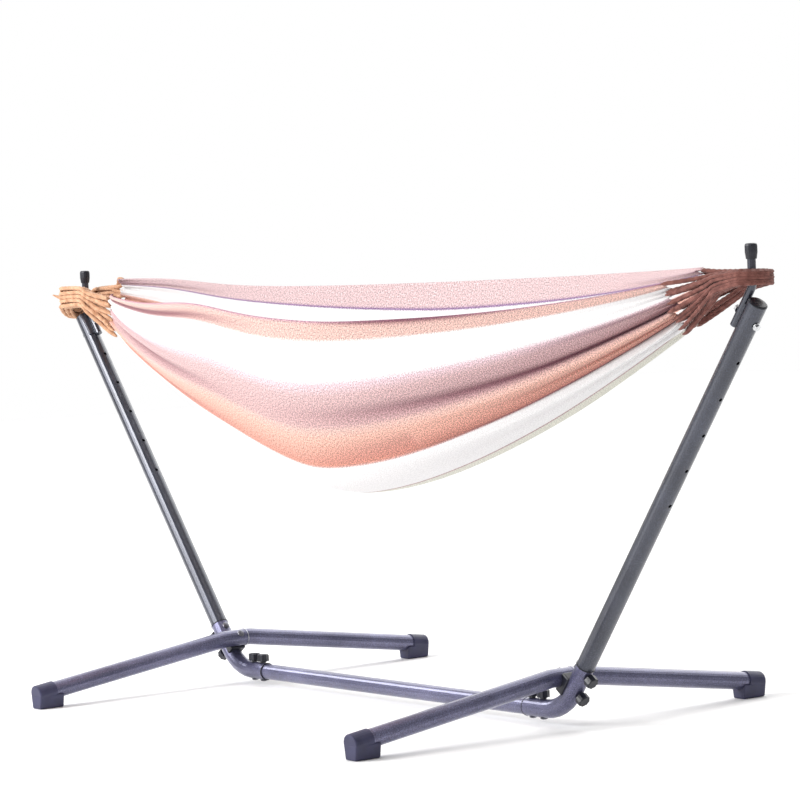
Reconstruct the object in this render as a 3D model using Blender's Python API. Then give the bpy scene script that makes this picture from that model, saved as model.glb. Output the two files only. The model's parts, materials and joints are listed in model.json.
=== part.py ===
"""Striped hammock hung on a free-standing steel tube stand.

Metres, +Z up. X runs along the hammock, Y across it, and the ground is Z = 0.
The two ends of the stand are the same parts: the left end is the right end
turned half a turn about Z. Each end has a post frame, an empty at the corner
where the base axis and the post axis meet, whose local Z runs up the post and
whose local X points out of the stand.
"""

import math

import bmesh
import bpy
from mathutils import Matrix, Vector

# Clearances
SEAT_GAP = 0.0003          # between faces that touch
SLIP = 0.0003              # radial play of one tube inside another
HOLE_PLAY = 0.0004         # radial play of a bolt in its hole

# Frame tubes
BEND_DIAMETER = 0.043      # elbows and posts, outside
BEND_WALL = 0.0018
BASE_WALL = 0.0015
LEG_DIAMETER = 0.042
LEG_WALL = 0.0015
TUBE_SIDES = 24

# Base and elbows
CORNER_X = 0.640           # where the base axis meets the post axis
CORNER_Z = 0.035           # height of the base axis
POST_LEAN = math.radians(36.4)
ELBOW_BEND_RADIUS = 0.120
ELBOW_BASE_STRAIGHT = 0.0644  # straight stretch on the base side, up to the rim
ELBOW_POST_STRAIGHT = 0.0724  # straight stretch on the post side, up to the rim
ELBOW_BEND_STEPS = 6
BASE_STOP = 0.0029         # base tube's end short of the bend

# Posts
POST_TOP = 1.125           # from the corner to the open top, along the post
POST_INSERT = 0.048        # swaged end that enters the elbow
SWAGE_TAPER = 0.004
HOLE_MARGIN = 0.043        # highest adjusting hole below the open top
HOLE_PITCH = 0.0954
HOLE_COUNT = 6
POST_CAP_DOME = 0.004
POST_CAP_PLUG = 0.016
POST_CAP_SIDES = 16

# Legs
LEG_SEAT_MARGIN = 0.0024   # from the end of the bend to the leg's bolt
SADDLE_WEB = 0.002         # saddle thickness between elbow and leg
LEG_HALF_SPAN = 0.600      # middle of the leg to the tube's end
FOOT_AXIS_Z = 0.034        # height of the leg axis at its end
LEG_FLAT_HALF = 0.036      # half of the level middle stretch, to its corners
LEG_BEND_RADIUS = 0.150
LEG_BEND_STEPS = 3
SLEEVE_RIM = 0.022         # the front arm runs past the middle by this much
LEG_INSERT = 0.050         # swaged end of the rear arm inside the front arm

# Saddle between elbow and leg
SADDLE_HALF_LENGTH = 0.024
SADDLE_HALF_WIDTH = 0.022
SADDLE_HUG = 0.011         # how far its horns reach round each tube
SADDLE_ROUND = 0.003

# Foot caps
CAP_WALL = 0.0025
CAP_SLEEVE = 0.046
CAP_END_WALL = 0.0037
CAP_BLOCK_EXTRA = 0.018    # the block runs further in than the sleeve
CAP_BLOCK_TOP_HALF = 0.0235
CAP_BLOCK_BASE_HALF = 0.0185
CAP_ROUND = 0.003
CAP_SIDES = 24

# Bolts and knobs
BOLT_DIAMETER = 0.008
BOLT_SIDES = 10
BOLT_HEAD_DIAMETER = 0.019
BOLT_HEAD_HEIGHT = 0.0040
BOLT_STAND_OUT = 0.012     # threaded end above the tube, inside the knob
POST_BOLT_MARGIN = 0.0175  # from the elbow's upper rim to the post bolt
BASE_BOLT_MARGIN = 0.015   # from the elbow's lower rim to its first bolt
BASE_BOLT_PITCH = 0.038
KNOB_DIAMETER = 0.030
KNOB_HEIGHT = 0.021
KNOB_NECK_DIAMETER = 0.016
KNOB_NECK_HEIGHT = 0.0035
KNOB_LOBES = 8
KNOB_FLUTE = 0.0016
KNOB_EDGE = 0.002
KNOB_BORE_DEPTH = 0.014

# Hooks
ROD_DIAMETER = 0.018
ROD_SIDES = 16
ROD_WELD = 0.001           # how far the rod sinks into its saddle plate
ROD_FOOT = 0.036           # rod's lower end below its bolt
ROD_RISE = 0.0635          # bolt to the corner where the rod turns upright
ROD_BEND_RADIUS = 0.030
ROD_BEND_STEPS = 5
PRONG_HEIGHT = 0.0815      # corner to the prong's top
PLATE_THICKNESS = 0.003
PLATE_FOOT = 0.026         # plate below its bolt
PLATE_RISE = 0.032         # plate above its bolt
PLATE_HALF_ANGLE = math.radians(52)
PLATE_STEPS = 10
NUT_SPOT_DEPTH = 0.0015    # flat cut in the rod for the nut
NUT_SPOT_HALF = 0.009
TIP_DIAMETER = 0.0265
TIP_NECK_DIAMETER = 0.0225
TIP_ROOF = 0.0085          # cap's top above the prong's end
TIP_HEIGHT = 0.033
HEX_ACROSS = 0.013
HEX_HEIGHT = 0.0055
WASHER_DIAMETER = 0.018
WASHER_THICKNESS = 0.0016

# Loops of the hammock: the right one is pulled tight round its prong, and the
# left one lies slack over its prong and the head of its post
ROPE_RADIUS = 0.0135       # half the rope bundle's width
ROPE_HALF_HEIGHT = 0.018
EYE_LIFT = 0.0010          # bottom of the loop above the rod's corner
EYE_REACH = 0.060          # from the prong's axis to the gathered neck
EYE_NECK_HALF = 0.017
EYE_STEPS = 14
EYE_SIDES = 8
TIGHT_PLAY = 0.012         # between the prong and each side branch of the tight loop
SLACK_PLAY = 0.014         # between the post and each side branch of the slack loop
SLACK_BIGHT_PLAY = 0.006   # between the post's head and the slack loop's far end
SLACK_DROOP = 0.026
SLACK_HALF_HEIGHT = 0.033
SLACK_HANG_POWER = 6       # how closely the droop keeps to the far end
TAIL_LENGTH = 0.056        # loose end of the slack loop, beyond the rope's middle
TAIL_LIFT = 0.022
TAIL_ASIDE = 0.036
TAIL_TIP_RADIUS = 0.003

# Strands from the loops to the cloth
STRAND_RADIUS = 0.0055
STRAND_SIDES = 6
STRAND_COUNT = 10
STRAND_STEPS = 3
STRAND_STACK = 0.0074      # height between strands where they gather
STRAND_SAG = 0.004
LEFT_STRAND_RUN = 0.1390   # from the prong's axis to the end of the cloth
RIGHT_STRAND_RUN = 0.2440

# Cloth, its heights measured from the swing axis
BED_HALF_WIDTH = 0.280
LEFT_END_HALF_WIDTH = 0.035
RIGHT_END_HALF_WIDTH = 0.048
BED_THICKNESS = 0.003
BED_SECTION_POWER = 2.7
FAR_EDGE_LOW = 0.0105
FAR_EDGE_LOW_X = -0.400
FAR_EDGE_ENDS = (0.0395, 0.0235)
FAR_EDGE_POWERS = (2.0, 2.0)
NEAR_EDGE_LOW = -0.0715
NEAR_EDGE_LOW_X = 0.130
NEAR_EDGE_ENDS = (0.0135, -0.0125)
NEAR_EDGE_POWERS = (1.05, 2.65)
BOTTOM_LOW = -0.4945
BOTTOM_LOW_X = -0.080
BOTTOM_ENDS = (-0.0955, -0.1215)
BOTTOM_POWERS = (1.31, 1.50)
PLEATS = 8
PLEAT_POINTS = 4
PLEAT_END = 0.009          # fold height at the gathered ends
PLEAT_MIDDLE = 0.004
PLEAT_FADE = 5.0
BED_ROWS = 17

BEND_RADIUS = BEND_DIAMETER / 2
BEND_BORE = BEND_RADIUS - BEND_WALL
INSERT_RADIUS = BEND_BORE - SLIP
LEG_RADIUS = LEG_DIAMETER / 2
BOLT_RADIUS = BOLT_DIAMETER / 2
HOLE_RADIUS = BOLT_RADIUS + HOLE_PLAY
ROD_RADIUS = ROD_DIAMETER / 2
ROD_OFFSET = BEND_RADIUS + SEAT_GAP + PLATE_THICKNESS + ROD_RADIUS - ROD_WELD
LEG_OFFSET = BEND_RADIUS + SADDLE_WEB + LEG_RADIUS
BEND_REACH = ELBOW_BEND_RADIUS * math.tan((math.pi / 2 - POST_LEAN) / 2)
ELBOW_BASE_ARM = BEND_REACH + ELBOW_BASE_STRAIGHT
ELBOW_POST_ARM = BEND_REACH + ELBOW_POST_STRAIGHT
LEG_SEAT = BEND_REACH + LEG_SEAT_MARGIN
HOLE_ROW_TOP = POST_TOP - HOLE_MARGIN
ROD_CORNER = HOLE_ROW_TOP + ROD_RISE
POST_BOLT_SEAT = ELBOW_POST_ARM - POST_BOLT_MARGIN
BASE_BOLT_INNER = ELBOW_BASE_ARM - BASE_BOLT_MARGIN
BASE_BOLT_OUTER = BASE_BOLT_INNER - BASE_BOLT_PITCH
STRAND_RUNS = {-1: LEFT_STRAND_RUN, 1: RIGHT_STRAND_RUN}
UP = Vector((0, 0, 1))
OUT = Vector((1, 0, 0))
ACROSS = Vector((0, 1, 0))


def remove_everything():
    for item in list(bpy.data.objects):
        bpy.data.objects.remove(item, do_unlink=True)


def make_material(name, colour, roughness, metallic):
    material = bpy.data.materials.new(name)
    material.use_nodes = True
    shader = material.node_tree.nodes["Principled BSDF"]
    shader.inputs["Base Color"].default_value = (*colour, 1.0)
    shader.inputs["Roughness"].default_value = roughness
    shader.inputs["Metallic"].default_value = metallic
    material.diffuse_color = (*colour, 1.0)
    return material


def post_point(out, up, across=0.0):
    """A point of the right end's post frame, in world coordinates."""
    lean = Matrix.Rotation(POST_LEAN, 3, "Y")
    corner = Vector((CORNER_X, 0, CORNER_Z))
    return corner + lean @ Vector((out, across, up))


def circle(centre, first, second, radius, sides, height=None):
    """Points round an ellipse whose half axes lie along first and second."""
    height = radius if height is None else height
    points = []
    for index in range(sides):
        angle = 2 * math.pi * index / sides
        points.append(centre + first * (radius * math.cos(angle))
                      + second * (height * math.sin(angle)))
    return points


def skin(rings, name):
    """A closed solid through rings of points, with flat ends."""
    shape = bmesh.new()
    layers = [[shape.verts.new(point) for point in ring] for ring in rings]
    for low, high in zip(layers, layers[1:]):
        for index, vertex in enumerate(low):
            after = (index + 1) % len(low)
            shape.faces.new((vertex, low[after], high[after], high[index]))
    shape.faces.new(layers[0])
    shape.faces.new(layers[-1])
    return to_mesh(shape, name)


def pipe(stations, sides, name):
    """An open tube. A station is place, direction, fixed side, outer and inner radius."""
    shape = bmesh.new()
    outer = []
    inner = []
    for place, direction, fixed, outside, inside in stations:
        cross = fixed.cross(direction).normalized()
        outer.append([shape.verts.new(p) for p in circle(place, cross, fixed, outside, sides)])
        inner.append([shape.verts.new(p) for p in circle(place, cross, fixed, inside, sides)])
    loops = outer + inner[::-1]
    for low, high in zip(loops, loops[1:] + loops[:1]):
        for index in range(sides):
            after = (index + 1) % sides
            shape.faces.new((low[index], low[after], high[after], high[index]))
    return to_mesh(shape, name)


def to_mesh(shape, name):
    bmesh.ops.recalc_face_normals(shape, faces=shape.faces)
    mesh = bpy.data.meshes.new(name)
    shape.to_mesh(mesh)
    shape.free()
    return mesh


def turned(profile, sides, name):
    """A solid of revolution about Z. The profile starts and ends on the axis."""
    rings = []
    for radius, height in profile[1:-1]:
        rings.append(circle(UP * height, OUT, ACROSS, radius, sides))
    shape = bmesh.new()
    layers = [[shape.verts.new(point) for point in ring] for ring in rings]
    for low, high in zip(layers, layers[1:]):
        for index in range(sides):
            after = (index + 1) % sides
            shape.faces.new((low[index], low[after], high[after], high[index]))
    for layer, height in ((layers[0], profile[0][1]), (layers[-1], profile[-1][1])):
        pole = shape.verts.new(UP * height)
        for index in range(sides):
            shape.faces.new((layer[index], layer[(index + 1) % sides], pole))
    return to_mesh(shape, name)


def rounded_block(corners_low, corners_high, rounding, name):
    """A prism between two four-cornered rings, with its edges rounded."""
    shape = bmesh.new()
    low = [shape.verts.new(point) for point in corners_low]
    high = [shape.verts.new(point) for point in corners_high]
    shape.faces.new(low)
    shape.faces.new(high)
    for index in range(4):
        after = (index + 1) % 4
        shape.faces.new((low[index], low[after], high[after], high[index]))
    bmesh.ops.recalc_face_normals(shape, faces=shape.faces)
    bmesh.ops.bevel(shape, geom=shape.edges[:], offset=rounding, segments=2,
                    profile=0.5, affect="EDGES", clamp_overlap=True)
    return to_mesh(shape, name)


def rod_between(start, end, radius, sides, name):
    """A plain cylinder from start to end."""
    direction = (end - start).normalized()
    side = ACROSS if abs(direction.y) < 0.9 else OUT
    side = (side - direction * side.dot(direction)).normalized()
    other = direction.cross(side)
    return skin([circle(start, other, side, radius, sides),
                 circle(end, other, side, radius, sides)], name)


def joined(meshes, name):
    """Several closed meshes in one, left as they are."""
    shape = bmesh.new()
    for mesh in meshes:
        shape.from_mesh(mesh)
    mesh = bpy.data.meshes.new(name)
    shape.to_mesh(mesh)
    shape.free()
    return mesh


def combined(mesh, tools, operation, name, overlapping=False):
    """The exact Boolean of a mesh with several tool meshes, as a new mesh."""
    body = bpy.data.objects.new("work_body", mesh)
    tool = bpy.data.objects.new("work_tool", joined(tools, "work_tools"))
    for item in (body, tool):
        bpy.context.scene.collection.objects.link(item)
    cut = body.modifiers.new("cut", "BOOLEAN")
    cut.operation = operation
    cut.solver = "EXACT"
    cut.use_self = overlapping
    cut.object = tool
    graph = bpy.context.evaluated_depsgraph_get()
    result = bpy.data.meshes.new_from_object(body.evaluated_get(graph))
    result.name = name
    bpy.data.objects.remove(body)
    bpy.data.objects.remove(tool)
    return result


def smooth(mesh, angle=35):
    mesh.shade_smooth()
    mesh.set_sharp_from_angle(angle=math.radians(angle))
    return mesh


def place(name, mesh, material, parent=None, location=(0, 0, 0), turn=None):
    """Link a named object that carries one material."""
    item = bpy.data.objects.new(name, mesh)
    bpy.context.scene.collection.objects.link(item)
    if not mesh.materials:
        mesh.materials.append(material)
    item.parent = parent
    item.location = location
    if turn is not None:
        item.rotation_euler = turn
    return item


def empty(name, parent=None, location=(0, 0, 0), turn=(0, 0, 0)):
    item = bpy.data.objects.new(name, None)
    bpy.context.scene.collection.objects.link(item)
    item.parent = parent
    item.location = location
    item.rotation_euler = turn
    return item


def rounded_path(points, radius, steps):
    """Places and directions along a run of straights with one rounded corner."""
    start, corner, end = points
    before = (corner - start).normalized()
    after = (end - corner).normalized()
    bend = before.angle(after)
    cut = radius * math.tan(bend / 2)
    axis = before.cross(after).normalized()
    centre = corner - before * cut + axis.cross(before) * radius
    path = [(start, before)]
    for step in range(steps + 1):
        turn = Matrix.Rotation(bend * step / steps, 3, axis)
        arm = corner - before * cut - centre
        path.append((centre + turn @ arm, turn @ before))
    path.append((end, after))
    return path


def elbow_path():
    """The elbow's middle line, seen from the corner."""
    rise = Vector((math.sin(POST_LEAN), 0, math.cos(POST_LEAN)))
    points = (Vector((-ELBOW_BASE_ARM, 0, 0)), Vector((0, 0, 0)), rise * ELBOW_POST_ARM)
    return rounded_path(points, ELBOW_BEND_RADIUS, ELBOW_BEND_STEPS)


def hole_tool(centre, direction, reach, radius=HOLE_RADIUS):
    return rod_between(centre - direction * reach, centre + direction * reach,
                       radius, BOLT_SIDES, "hole")


def elbow_mesh():
    stations = [(spot, run, ACROSS, BEND_RADIUS, BEND_BORE) for spot, run in elbow_path()]
    tube = pipe(stations, TUBE_SIDES, "elbow_tube")
    lean = Matrix.Rotation(POST_LEAN, 3, "Y")
    tools = []
    for along in (LEG_SEAT, POST_BOLT_SEAT):
        tools.append(hole_tool(lean @ (UP * along), lean @ OUT, BEND_DIAMETER))
    for back in (BASE_BOLT_OUTER, BASE_BOLT_INNER):
        tools.append(hole_tool(-OUT * back, UP, BEND_DIAMETER))
    return smooth(combined(tube, tools, "DIFFERENCE", "elbow"))


def base_mesh():
    half = CORNER_X - BEND_REACH - BASE_STOP
    stations = [(OUT * x, OUT, ACROSS, INSERT_RADIUS, INSERT_RADIUS - BASE_WALL)
                for x in (-half, half)]
    tube = pipe(stations, TUBE_SIDES, "base_pipe")
    tools = []
    for side in (-1, 1):
        for back in (BASE_BOLT_OUTER, BASE_BOLT_INNER):
            tools.append(hole_tool(OUT * (side * (CORNER_X - back)), UP, BEND_DIAMETER))
    return smooth(combined(tube, tools, "DIFFERENCE", "base"))


def post_mesh():
    rim = ELBOW_POST_ARM + SEAT_GAP
    swage_bore = INSERT_RADIUS - BEND_WALL
    stations = [
        (UP * (rim - POST_INSERT), UP, ACROSS, INSERT_RADIUS, swage_bore),
        (UP * rim, UP, ACROSS, INSERT_RADIUS, swage_bore),
        (UP * (rim + SEAT_GAP), UP, ACROSS, BEND_RADIUS, swage_bore),
        (UP * (rim + SWAGE_TAPER), UP, ACROSS, BEND_RADIUS, BEND_BORE),
        (UP * POST_TOP, UP, ACROSS, BEND_RADIUS, BEND_BORE),
    ]
    tube = pipe(stations, TUBE_SIDES, "post_pipe")
    tools = [hole_tool(UP * POST_BOLT_SEAT, OUT, BEND_DIAMETER)]
    for index in range(HOLE_COUNT):
        tools.append(hole_tool(UP * (HOLE_ROW_TOP - HOLE_PITCH * index), OUT, BEND_DIAMETER))
    return smooth(combined(tube, tools, "DIFFERENCE", "post"))


def post_cap_mesh():
    plug = BEND_BORE - SLIP
    low = POST_TOP + SEAT_GAP
    profile = [
        (0, POST_TOP - POST_CAP_PLUG),
        (plug - SLIP, POST_TOP - POST_CAP_PLUG),
        (plug, low - POST_CAP_PLUG / 2),
        (plug, low),
        (BEND_RADIUS, low),
        (BEND_RADIUS, low + POST_CAP_DOME / 3),
        (BEND_RADIUS * 0.86, low + POST_CAP_DOME * 0.8),
        (BEND_RADIUS * 0.5, low + POST_CAP_DOME),
        (0, low + POST_CAP_DOME),
    ]
    return smooth(turned(profile, POST_CAP_SIDES, "post_cap"))


def leg_line(rim):
    """The rear half of a leg's middle line, out along +Y from a level rim."""
    drop = leg_height() - FOOT_AXIS_Z
    run = LEG_HALF_SPAN - LEG_FLAT_HALF
    end = Vector((0, LEG_HALF_SPAN, FOOT_AXIS_Z - leg_height()))
    slope = Vector((0, run, -drop)).normalized()
    points = (Vector((0, rim, 0)), Vector((0, LEG_FLAT_HALF, 0)), end)
    return rounded_path(points, LEG_BEND_RADIUS, LEG_BEND_STEPS), slope


def leg_height():
    return post_point(-LEG_OFFSET, LEG_SEAT).z


def leg_mesh(front, side):
    """One arm of a leg. The front arm is a plain sleeve, the rear arm plugs into it."""
    inner = LEG_RADIUS - LEG_WALL
    plug = inner - SLIP
    stations = []
    if front:
        path, slope = leg_line(-SLEEVE_RIM)
        stations = [(spot, run, OUT, LEG_RADIUS, inner) for spot, run in path]
    else:
        path, slope = leg_line(SLEEVE_RIM + SEAT_GAP)
        start = path[0][0]
        stations.append((start - ACROSS * LEG_INSERT, ACROSS, OUT, plug, plug - LEG_WALL))
        stations.append((start, ACROSS, OUT, plug, plug - LEG_WALL))
        stations.append((start + ACROSS * SEAT_GAP, ACROSS, OUT, LEG_RADIUS, plug - LEG_WALL))
        stations += [(spot, run, OUT, LEG_RADIUS, inner) for spot, run in path[1:]]
    name = "front_arm" if front else "rear_arm"
    tube = pipe(stations, TUBE_SIDES, name + "_pipe")
    way = Vector((side * math.cos(POST_LEAN), 0, -math.sin(POST_LEAN)))
    mesh = combined(tube, [hole_tool(Vector(), way, LEG_DIAMETER)], "DIFFERENCE", name)
    if front:
        mesh.transform(Matrix.Scale(-1, 4, ACROSS))
        mesh.flip_normals()
    return smooth(mesh)


def saddle_mesh():
    """The block in the crook of the elbow, hollowed by the elbow and by the leg."""
    near = SADDLE_HUG - BEND_RADIUS
    far = -LEG_OFFSET + LEG_RADIUS - SADDLE_HUG
    spread = SADDLE_HALF_LENGTH
    wide = SADDLE_HALF_WIDTH
    turns = ((-1, -1), (1, -1), (1, 1), (-1, 1))
    rings = []
    for out in (near, far):
        rings.append([Vector((out, wide * y, LEG_SEAT + spread * s)) for y, s in turns])
    block = rounded_block(rings[0], rings[1], SADDLE_ROUND, "saddle_block")
    lean = Matrix.Rotation(-POST_LEAN, 3, "Y")
    elbow = []
    for spot, run in elbow_path():
        spot = lean @ spot
        cross = ACROSS.cross(lean @ run).normalized()
        elbow.append(circle(spot, cross, ACROSS, BEND_RADIUS + SEAT_GAP, TUBE_SIDES))
    leg = Vector((-LEG_OFFSET, 0, LEG_SEAT))
    tools = [rod_between(leg - ACROSS * LEG_FLAT_HALF, leg + ACROSS * LEG_FLAT_HALF,
                         LEG_RADIUS + SEAT_GAP, TUBE_SIDES, "leg_tool")]
    mesh = combined(block, [skin(elbow, "elbow_tool")], "DIFFERENCE", "saddle_cut")
    mesh = combined(mesh, tools, "DIFFERENCE", "saddle_cut_again")
    hole = [hole_tool(UP * LEG_SEAT, OUT, LEG_OFFSET)]
    return smooth(combined(mesh, hole, "DIFFERENCE", "saddle"), 30)


def foot_cap_mesh():
    """A rubber cap over the leg's end, outward along +Y, standing on Z = 0."""
    path, slope = leg_line(SLEEVE_RIM)
    end = UP * FOOT_AXIS_Z
    outer = LEG_RADIUS + SEAT_GAP + CAP_WALL
    face = end + slope * CAP_END_WALL
    shoulder = face - slope * CAP_ROUND
    rings = []
    lift = OUT.cross(slope).normalized()
    for spot, radius in ((end - slope * CAP_SLEEVE, outer), (shoulder, outer),
                         (face - slope * (CAP_ROUND * 0.3), outer - CAP_ROUND * 0.3),
                         (face, outer - CAP_ROUND)):
        rings.append(circle(spot, OUT, lift, radius, CAP_SIDES))
    sleeve = skin(rings, "cap_sleeve")
    back = -(CAP_SLEEVE + CAP_BLOCK_EXTRA)
    front = CAP_END_WALL
    low = [Vector((-CAP_BLOCK_BASE_HALF, back, 0)), Vector((CAP_BLOCK_BASE_HALF, back, 0)),
           Vector((CAP_BLOCK_BASE_HALF, front, 0)), Vector((-CAP_BLOCK_BASE_HALF, front, 0))]
    high = [Vector((-CAP_BLOCK_TOP_HALF, back, FOOT_AXIS_Z)),
            Vector((CAP_BLOCK_TOP_HALF, back, FOOT_AXIS_Z)),
            Vector((CAP_BLOCK_TOP_HALF, front, FOOT_AXIS_Z)),
            Vector((-CAP_BLOCK_TOP_HALF, front, FOOT_AXIS_Z))]
    block = rounded_block(low, high, CAP_ROUND, "cap_block")
    body = combined(sleeve, [block], "UNION", "cap_body")
    bore = rod_between(end + slope * SEAT_GAP, end - slope * (CAP_SLEEVE * 2),
                       LEG_RADIUS + SEAT_GAP, CAP_SIDES, "cap_bore")
    return smooth(combined(body, [bore], "DIFFERENCE", "foot_cap"))


def bolt_mesh(grip):
    """A round-headed bolt along Z. The origin is where it leaves the far side of its grip."""
    seat = -grip - SEAT_GAP
    top = seat - BOLT_HEAD_HEIGHT
    head = BOLT_HEAD_DIAMETER / 2
    profile = [
        (0, top),
        (head * 0.55, top + BOLT_HEAD_HEIGHT * 0.12),
        (head * 0.9, top + BOLT_HEAD_HEIGHT * 0.55),
        (head, seat),
        (BOLT_RADIUS, seat),
        (BOLT_RADIUS, BOLT_STAND_OUT),
        (0, BOLT_STAND_OUT),
    ]
    return smooth(turned(profile, BOLT_SIDES, "bolt"))


def knob_mesh():
    """A fluted knob on a neck, with a blind threaded bore. Local Z points away from the tube."""
    bore = BOLT_RADIUS + HOLE_PLAY
    neck = KNOB_NECK_DIAMETER / 2
    wide = KNOB_DIAMETER / 2
    base = SEAT_GAP
    shoulder = base + KNOB_NECK_HEIGHT
    rows = [
        (bore, 0, base + KNOB_BORE_DEPTH),
        (bore, 0, base),
        (neck, 0, base),
        (neck, 0, shoulder),
        (wide, KNOB_FLUTE, shoulder),
        (wide, KNOB_FLUTE, KNOB_HEIGHT - KNOB_EDGE),
        (wide - KNOB_EDGE, KNOB_FLUTE, KNOB_HEIGHT),
    ]
    rings = []
    for radius, flute, height in rows:
        ring = []
        for index in range(2 * KNOB_LOBES):
            angle = math.pi * index / KNOB_LOBES
            reach = radius - (flute if index % 2 else 0)
            ring.append(Vector((reach * math.cos(angle), reach * math.sin(angle), height)))
        rings.append(ring)
    return smooth(skin(rings, "knob"), 40)


def hook_mesh():
    """A rod on a curved plate, along the post and then upright. Post frame."""
    upright = Matrix.Rotation(-POST_LEAN, 3, "Y") @ UP
    corner = Vector((-ROD_OFFSET, 0, ROD_CORNER))
    foot = Vector((-ROD_OFFSET, 0, HOLE_ROW_TOP - ROD_FOOT))
    top = corner + upright * PRONG_HEIGHT
    rings = []
    for spot, run in rounded_path((foot, corner, top), ROD_BEND_RADIUS, ROD_BEND_STEPS):
        rings.append(circle(spot, ACROSS.cross(run).normalized(), ACROSS, ROD_RADIUS, ROD_SIDES))
    rod = skin(rings, "rod")
    inner = BEND_RADIUS + SEAT_GAP
    outer = inner + PLATE_THICKNESS
    rings = []
    for along in (HOLE_ROW_TOP - PLATE_FOOT, HOLE_ROW_TOP + PLATE_RISE):
        ring = []
        for radius, flip in ((inner, 1), (outer, -1)):
            for step in range(PLATE_STEPS + 1):
                angle = flip * PLATE_HALF_ANGLE * (2 * step / PLATE_STEPS - 1)
                ring.append(Vector((-radius * math.cos(angle), radius * math.sin(angle), along)))
        rings.append(ring)
    plate = skin(rings, "plate")
    body = combined(rod, [plate], "UNION", "hook_body")
    flat = ROD_OFFSET + ROD_RADIUS - NUT_SPOT_DEPTH
    spot = skin([[Vector((-out, y * NUT_SPOT_HALF, HOLE_ROW_TOP + s * NUT_SPOT_HALF))
                  for y, s in ((-1, -1), (1, -1), (1, 1), (-1, 1))]
                 for out in (flat, flat + ROD_RADIUS)], "nut_spot")
    hole = hole_tool(UP * HOLE_ROW_TOP, OUT, ROD_OFFSET + ROD_DIAMETER)
    body = combined(body, [spot], "DIFFERENCE", "hook_flat")
    return smooth(combined(body, [hole], "DIFFERENCE", "hook"))


def hook_tip_mesh():
    """A soft cap on the prong. Local Z is up, and the origin is at the prong's top."""
    high = TIP_ROOF
    low = high - TIP_HEIGHT
    wide = TIP_DIAMETER / 2
    neck = TIP_NECK_DIAMETER / 2
    bore = ROD_RADIUS + SEAT_GAP
    profile = [
        (0, SEAT_GAP),
        (bore, SEAT_GAP),
        (bore, low),
        (neck, low),
        (wide, low + TIP_HEIGHT * 0.42),
        (wide, low + TIP_HEIGHT * 0.82),
        (wide * 0.93, low + TIP_HEIGHT * 0.94),
        (wide * 0.72, high - TIP_HEIGHT * 0.008),
        (0, high),
    ]
    return smooth(turned(profile, ROD_SIDES, "hook_tip"))


def hexagon(height, across):
    radius = across / math.sqrt(3)
    return circle(UP * height, OUT, ACROSS, radius, 6)


def hook_bolt_mesh():
    """Hexagon bolt with its washer. Local Z runs outward, the origin is on the post's outer side."""
    inward = -(BEND_RADIUS + ROD_OFFSET + ROD_RADIUS - NUT_SPOT_DEPTH)
    end = inward - WASHER_THICKNESS - HEX_HEIGHT - SEAT_GAP
    washer_top = SEAT_GAP + WASHER_THICKNESS
    profile = [
        (0, end),
        (BOLT_RADIUS, end),
        (BOLT_RADIUS, SEAT_GAP),
        (WASHER_DIAMETER / 2, SEAT_GAP),
        (WASHER_DIAMETER / 2, washer_top),
        (0, washer_top),
    ]
    shank = turned(profile, BOLT_SIDES, "hook_bolt_shank")
    low = washer_top - WASHER_THICKNESS / 2
    head = skin([hexagon(low, HEX_ACROSS), hexagon(washer_top + HEX_HEIGHT, HEX_ACROSS)],
                "hook_bolt_head")
    return smooth(combined(shank, [head], "UNION", "hook_bolt"), 30)


def hook_nut_mesh():
    """Nut with its washer, against the flat on the rod. Local Z runs inward from the flat."""
    low = SEAT_GAP
    thick = low + WASHER_THICKNESS
    washer = skin([circle(UP * low, OUT, ACROSS, WASHER_DIAMETER / 2, BOLT_SIDES),
                   circle(UP * thick, OUT, ACROSS, WASHER_DIAMETER / 2, BOLT_SIDES)], "washer")
    nut = skin([hexagon(thick - WASHER_THICKNESS / 2, HEX_ACROSS),
                hexagon(thick + HEX_HEIGHT, HEX_ACROSS)], "nut")
    both = combined(washer, [nut], "UNION", "nut_and_washer")
    bore = hole_tool(UP * low, UP, HEX_ACROSS * 2)
    return smooth(combined(both, [bore], "DIFFERENCE", "hook_nut"), 30)


def rod_corner():
    """Where the hook's rod turns upright, at the right end."""
    return post_point(-ROD_OFFSET, ROD_CORNER)


def eye_height():
    """Height of the loops on the prongs, which is also that of the swing axis."""
    return rod_corner().z + EYE_LIFT + ROPE_HALF_HEIGHT


def bed_end(side):
    run = STRAND_RUNS[side]
    return side * (rod_corner().x - run)


def bed_share(x):
    """Place along the cloth, from -1 at its left end to 1 at its right end."""
    middle = (bed_end(1) + bed_end(-1)) / 2
    return (x - middle) / (bed_end(1) - middle)


def bed_half_width(x):
    share = bed_share(x)
    end = RIGHT_END_HALF_WIDTH if share > 0 else LEFT_END_HALF_WIDTH
    return end + (BED_HALF_WIDTH - end) * (1 - share ** 2)


def dip(x, low_x, low, ends, powers):
    """Height of a line that sags to low at low_x and climbs to its left and right ends."""
    right = x > low_x
    reach = bed_end(1 if right else -1) - low_x
    return low + (ends[right] - low) * abs((x - low_x) / reach) ** powers[right]


def far_edge_height(x):
    return dip(x, FAR_EDGE_LOW_X, FAR_EDGE_LOW, FAR_EDGE_ENDS, FAR_EDGE_POWERS)


def near_edge_height(x):
    return dip(x, NEAR_EDGE_LOW_X, NEAR_EDGE_LOW, NEAR_EDGE_ENDS, NEAR_EDGE_POWERS)


def bottom_height(x):
    return dip(x, BOTTOM_LOW_X, BOTTOM_LOW, BOTTOM_ENDS, BOTTOM_POWERS)


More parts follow.
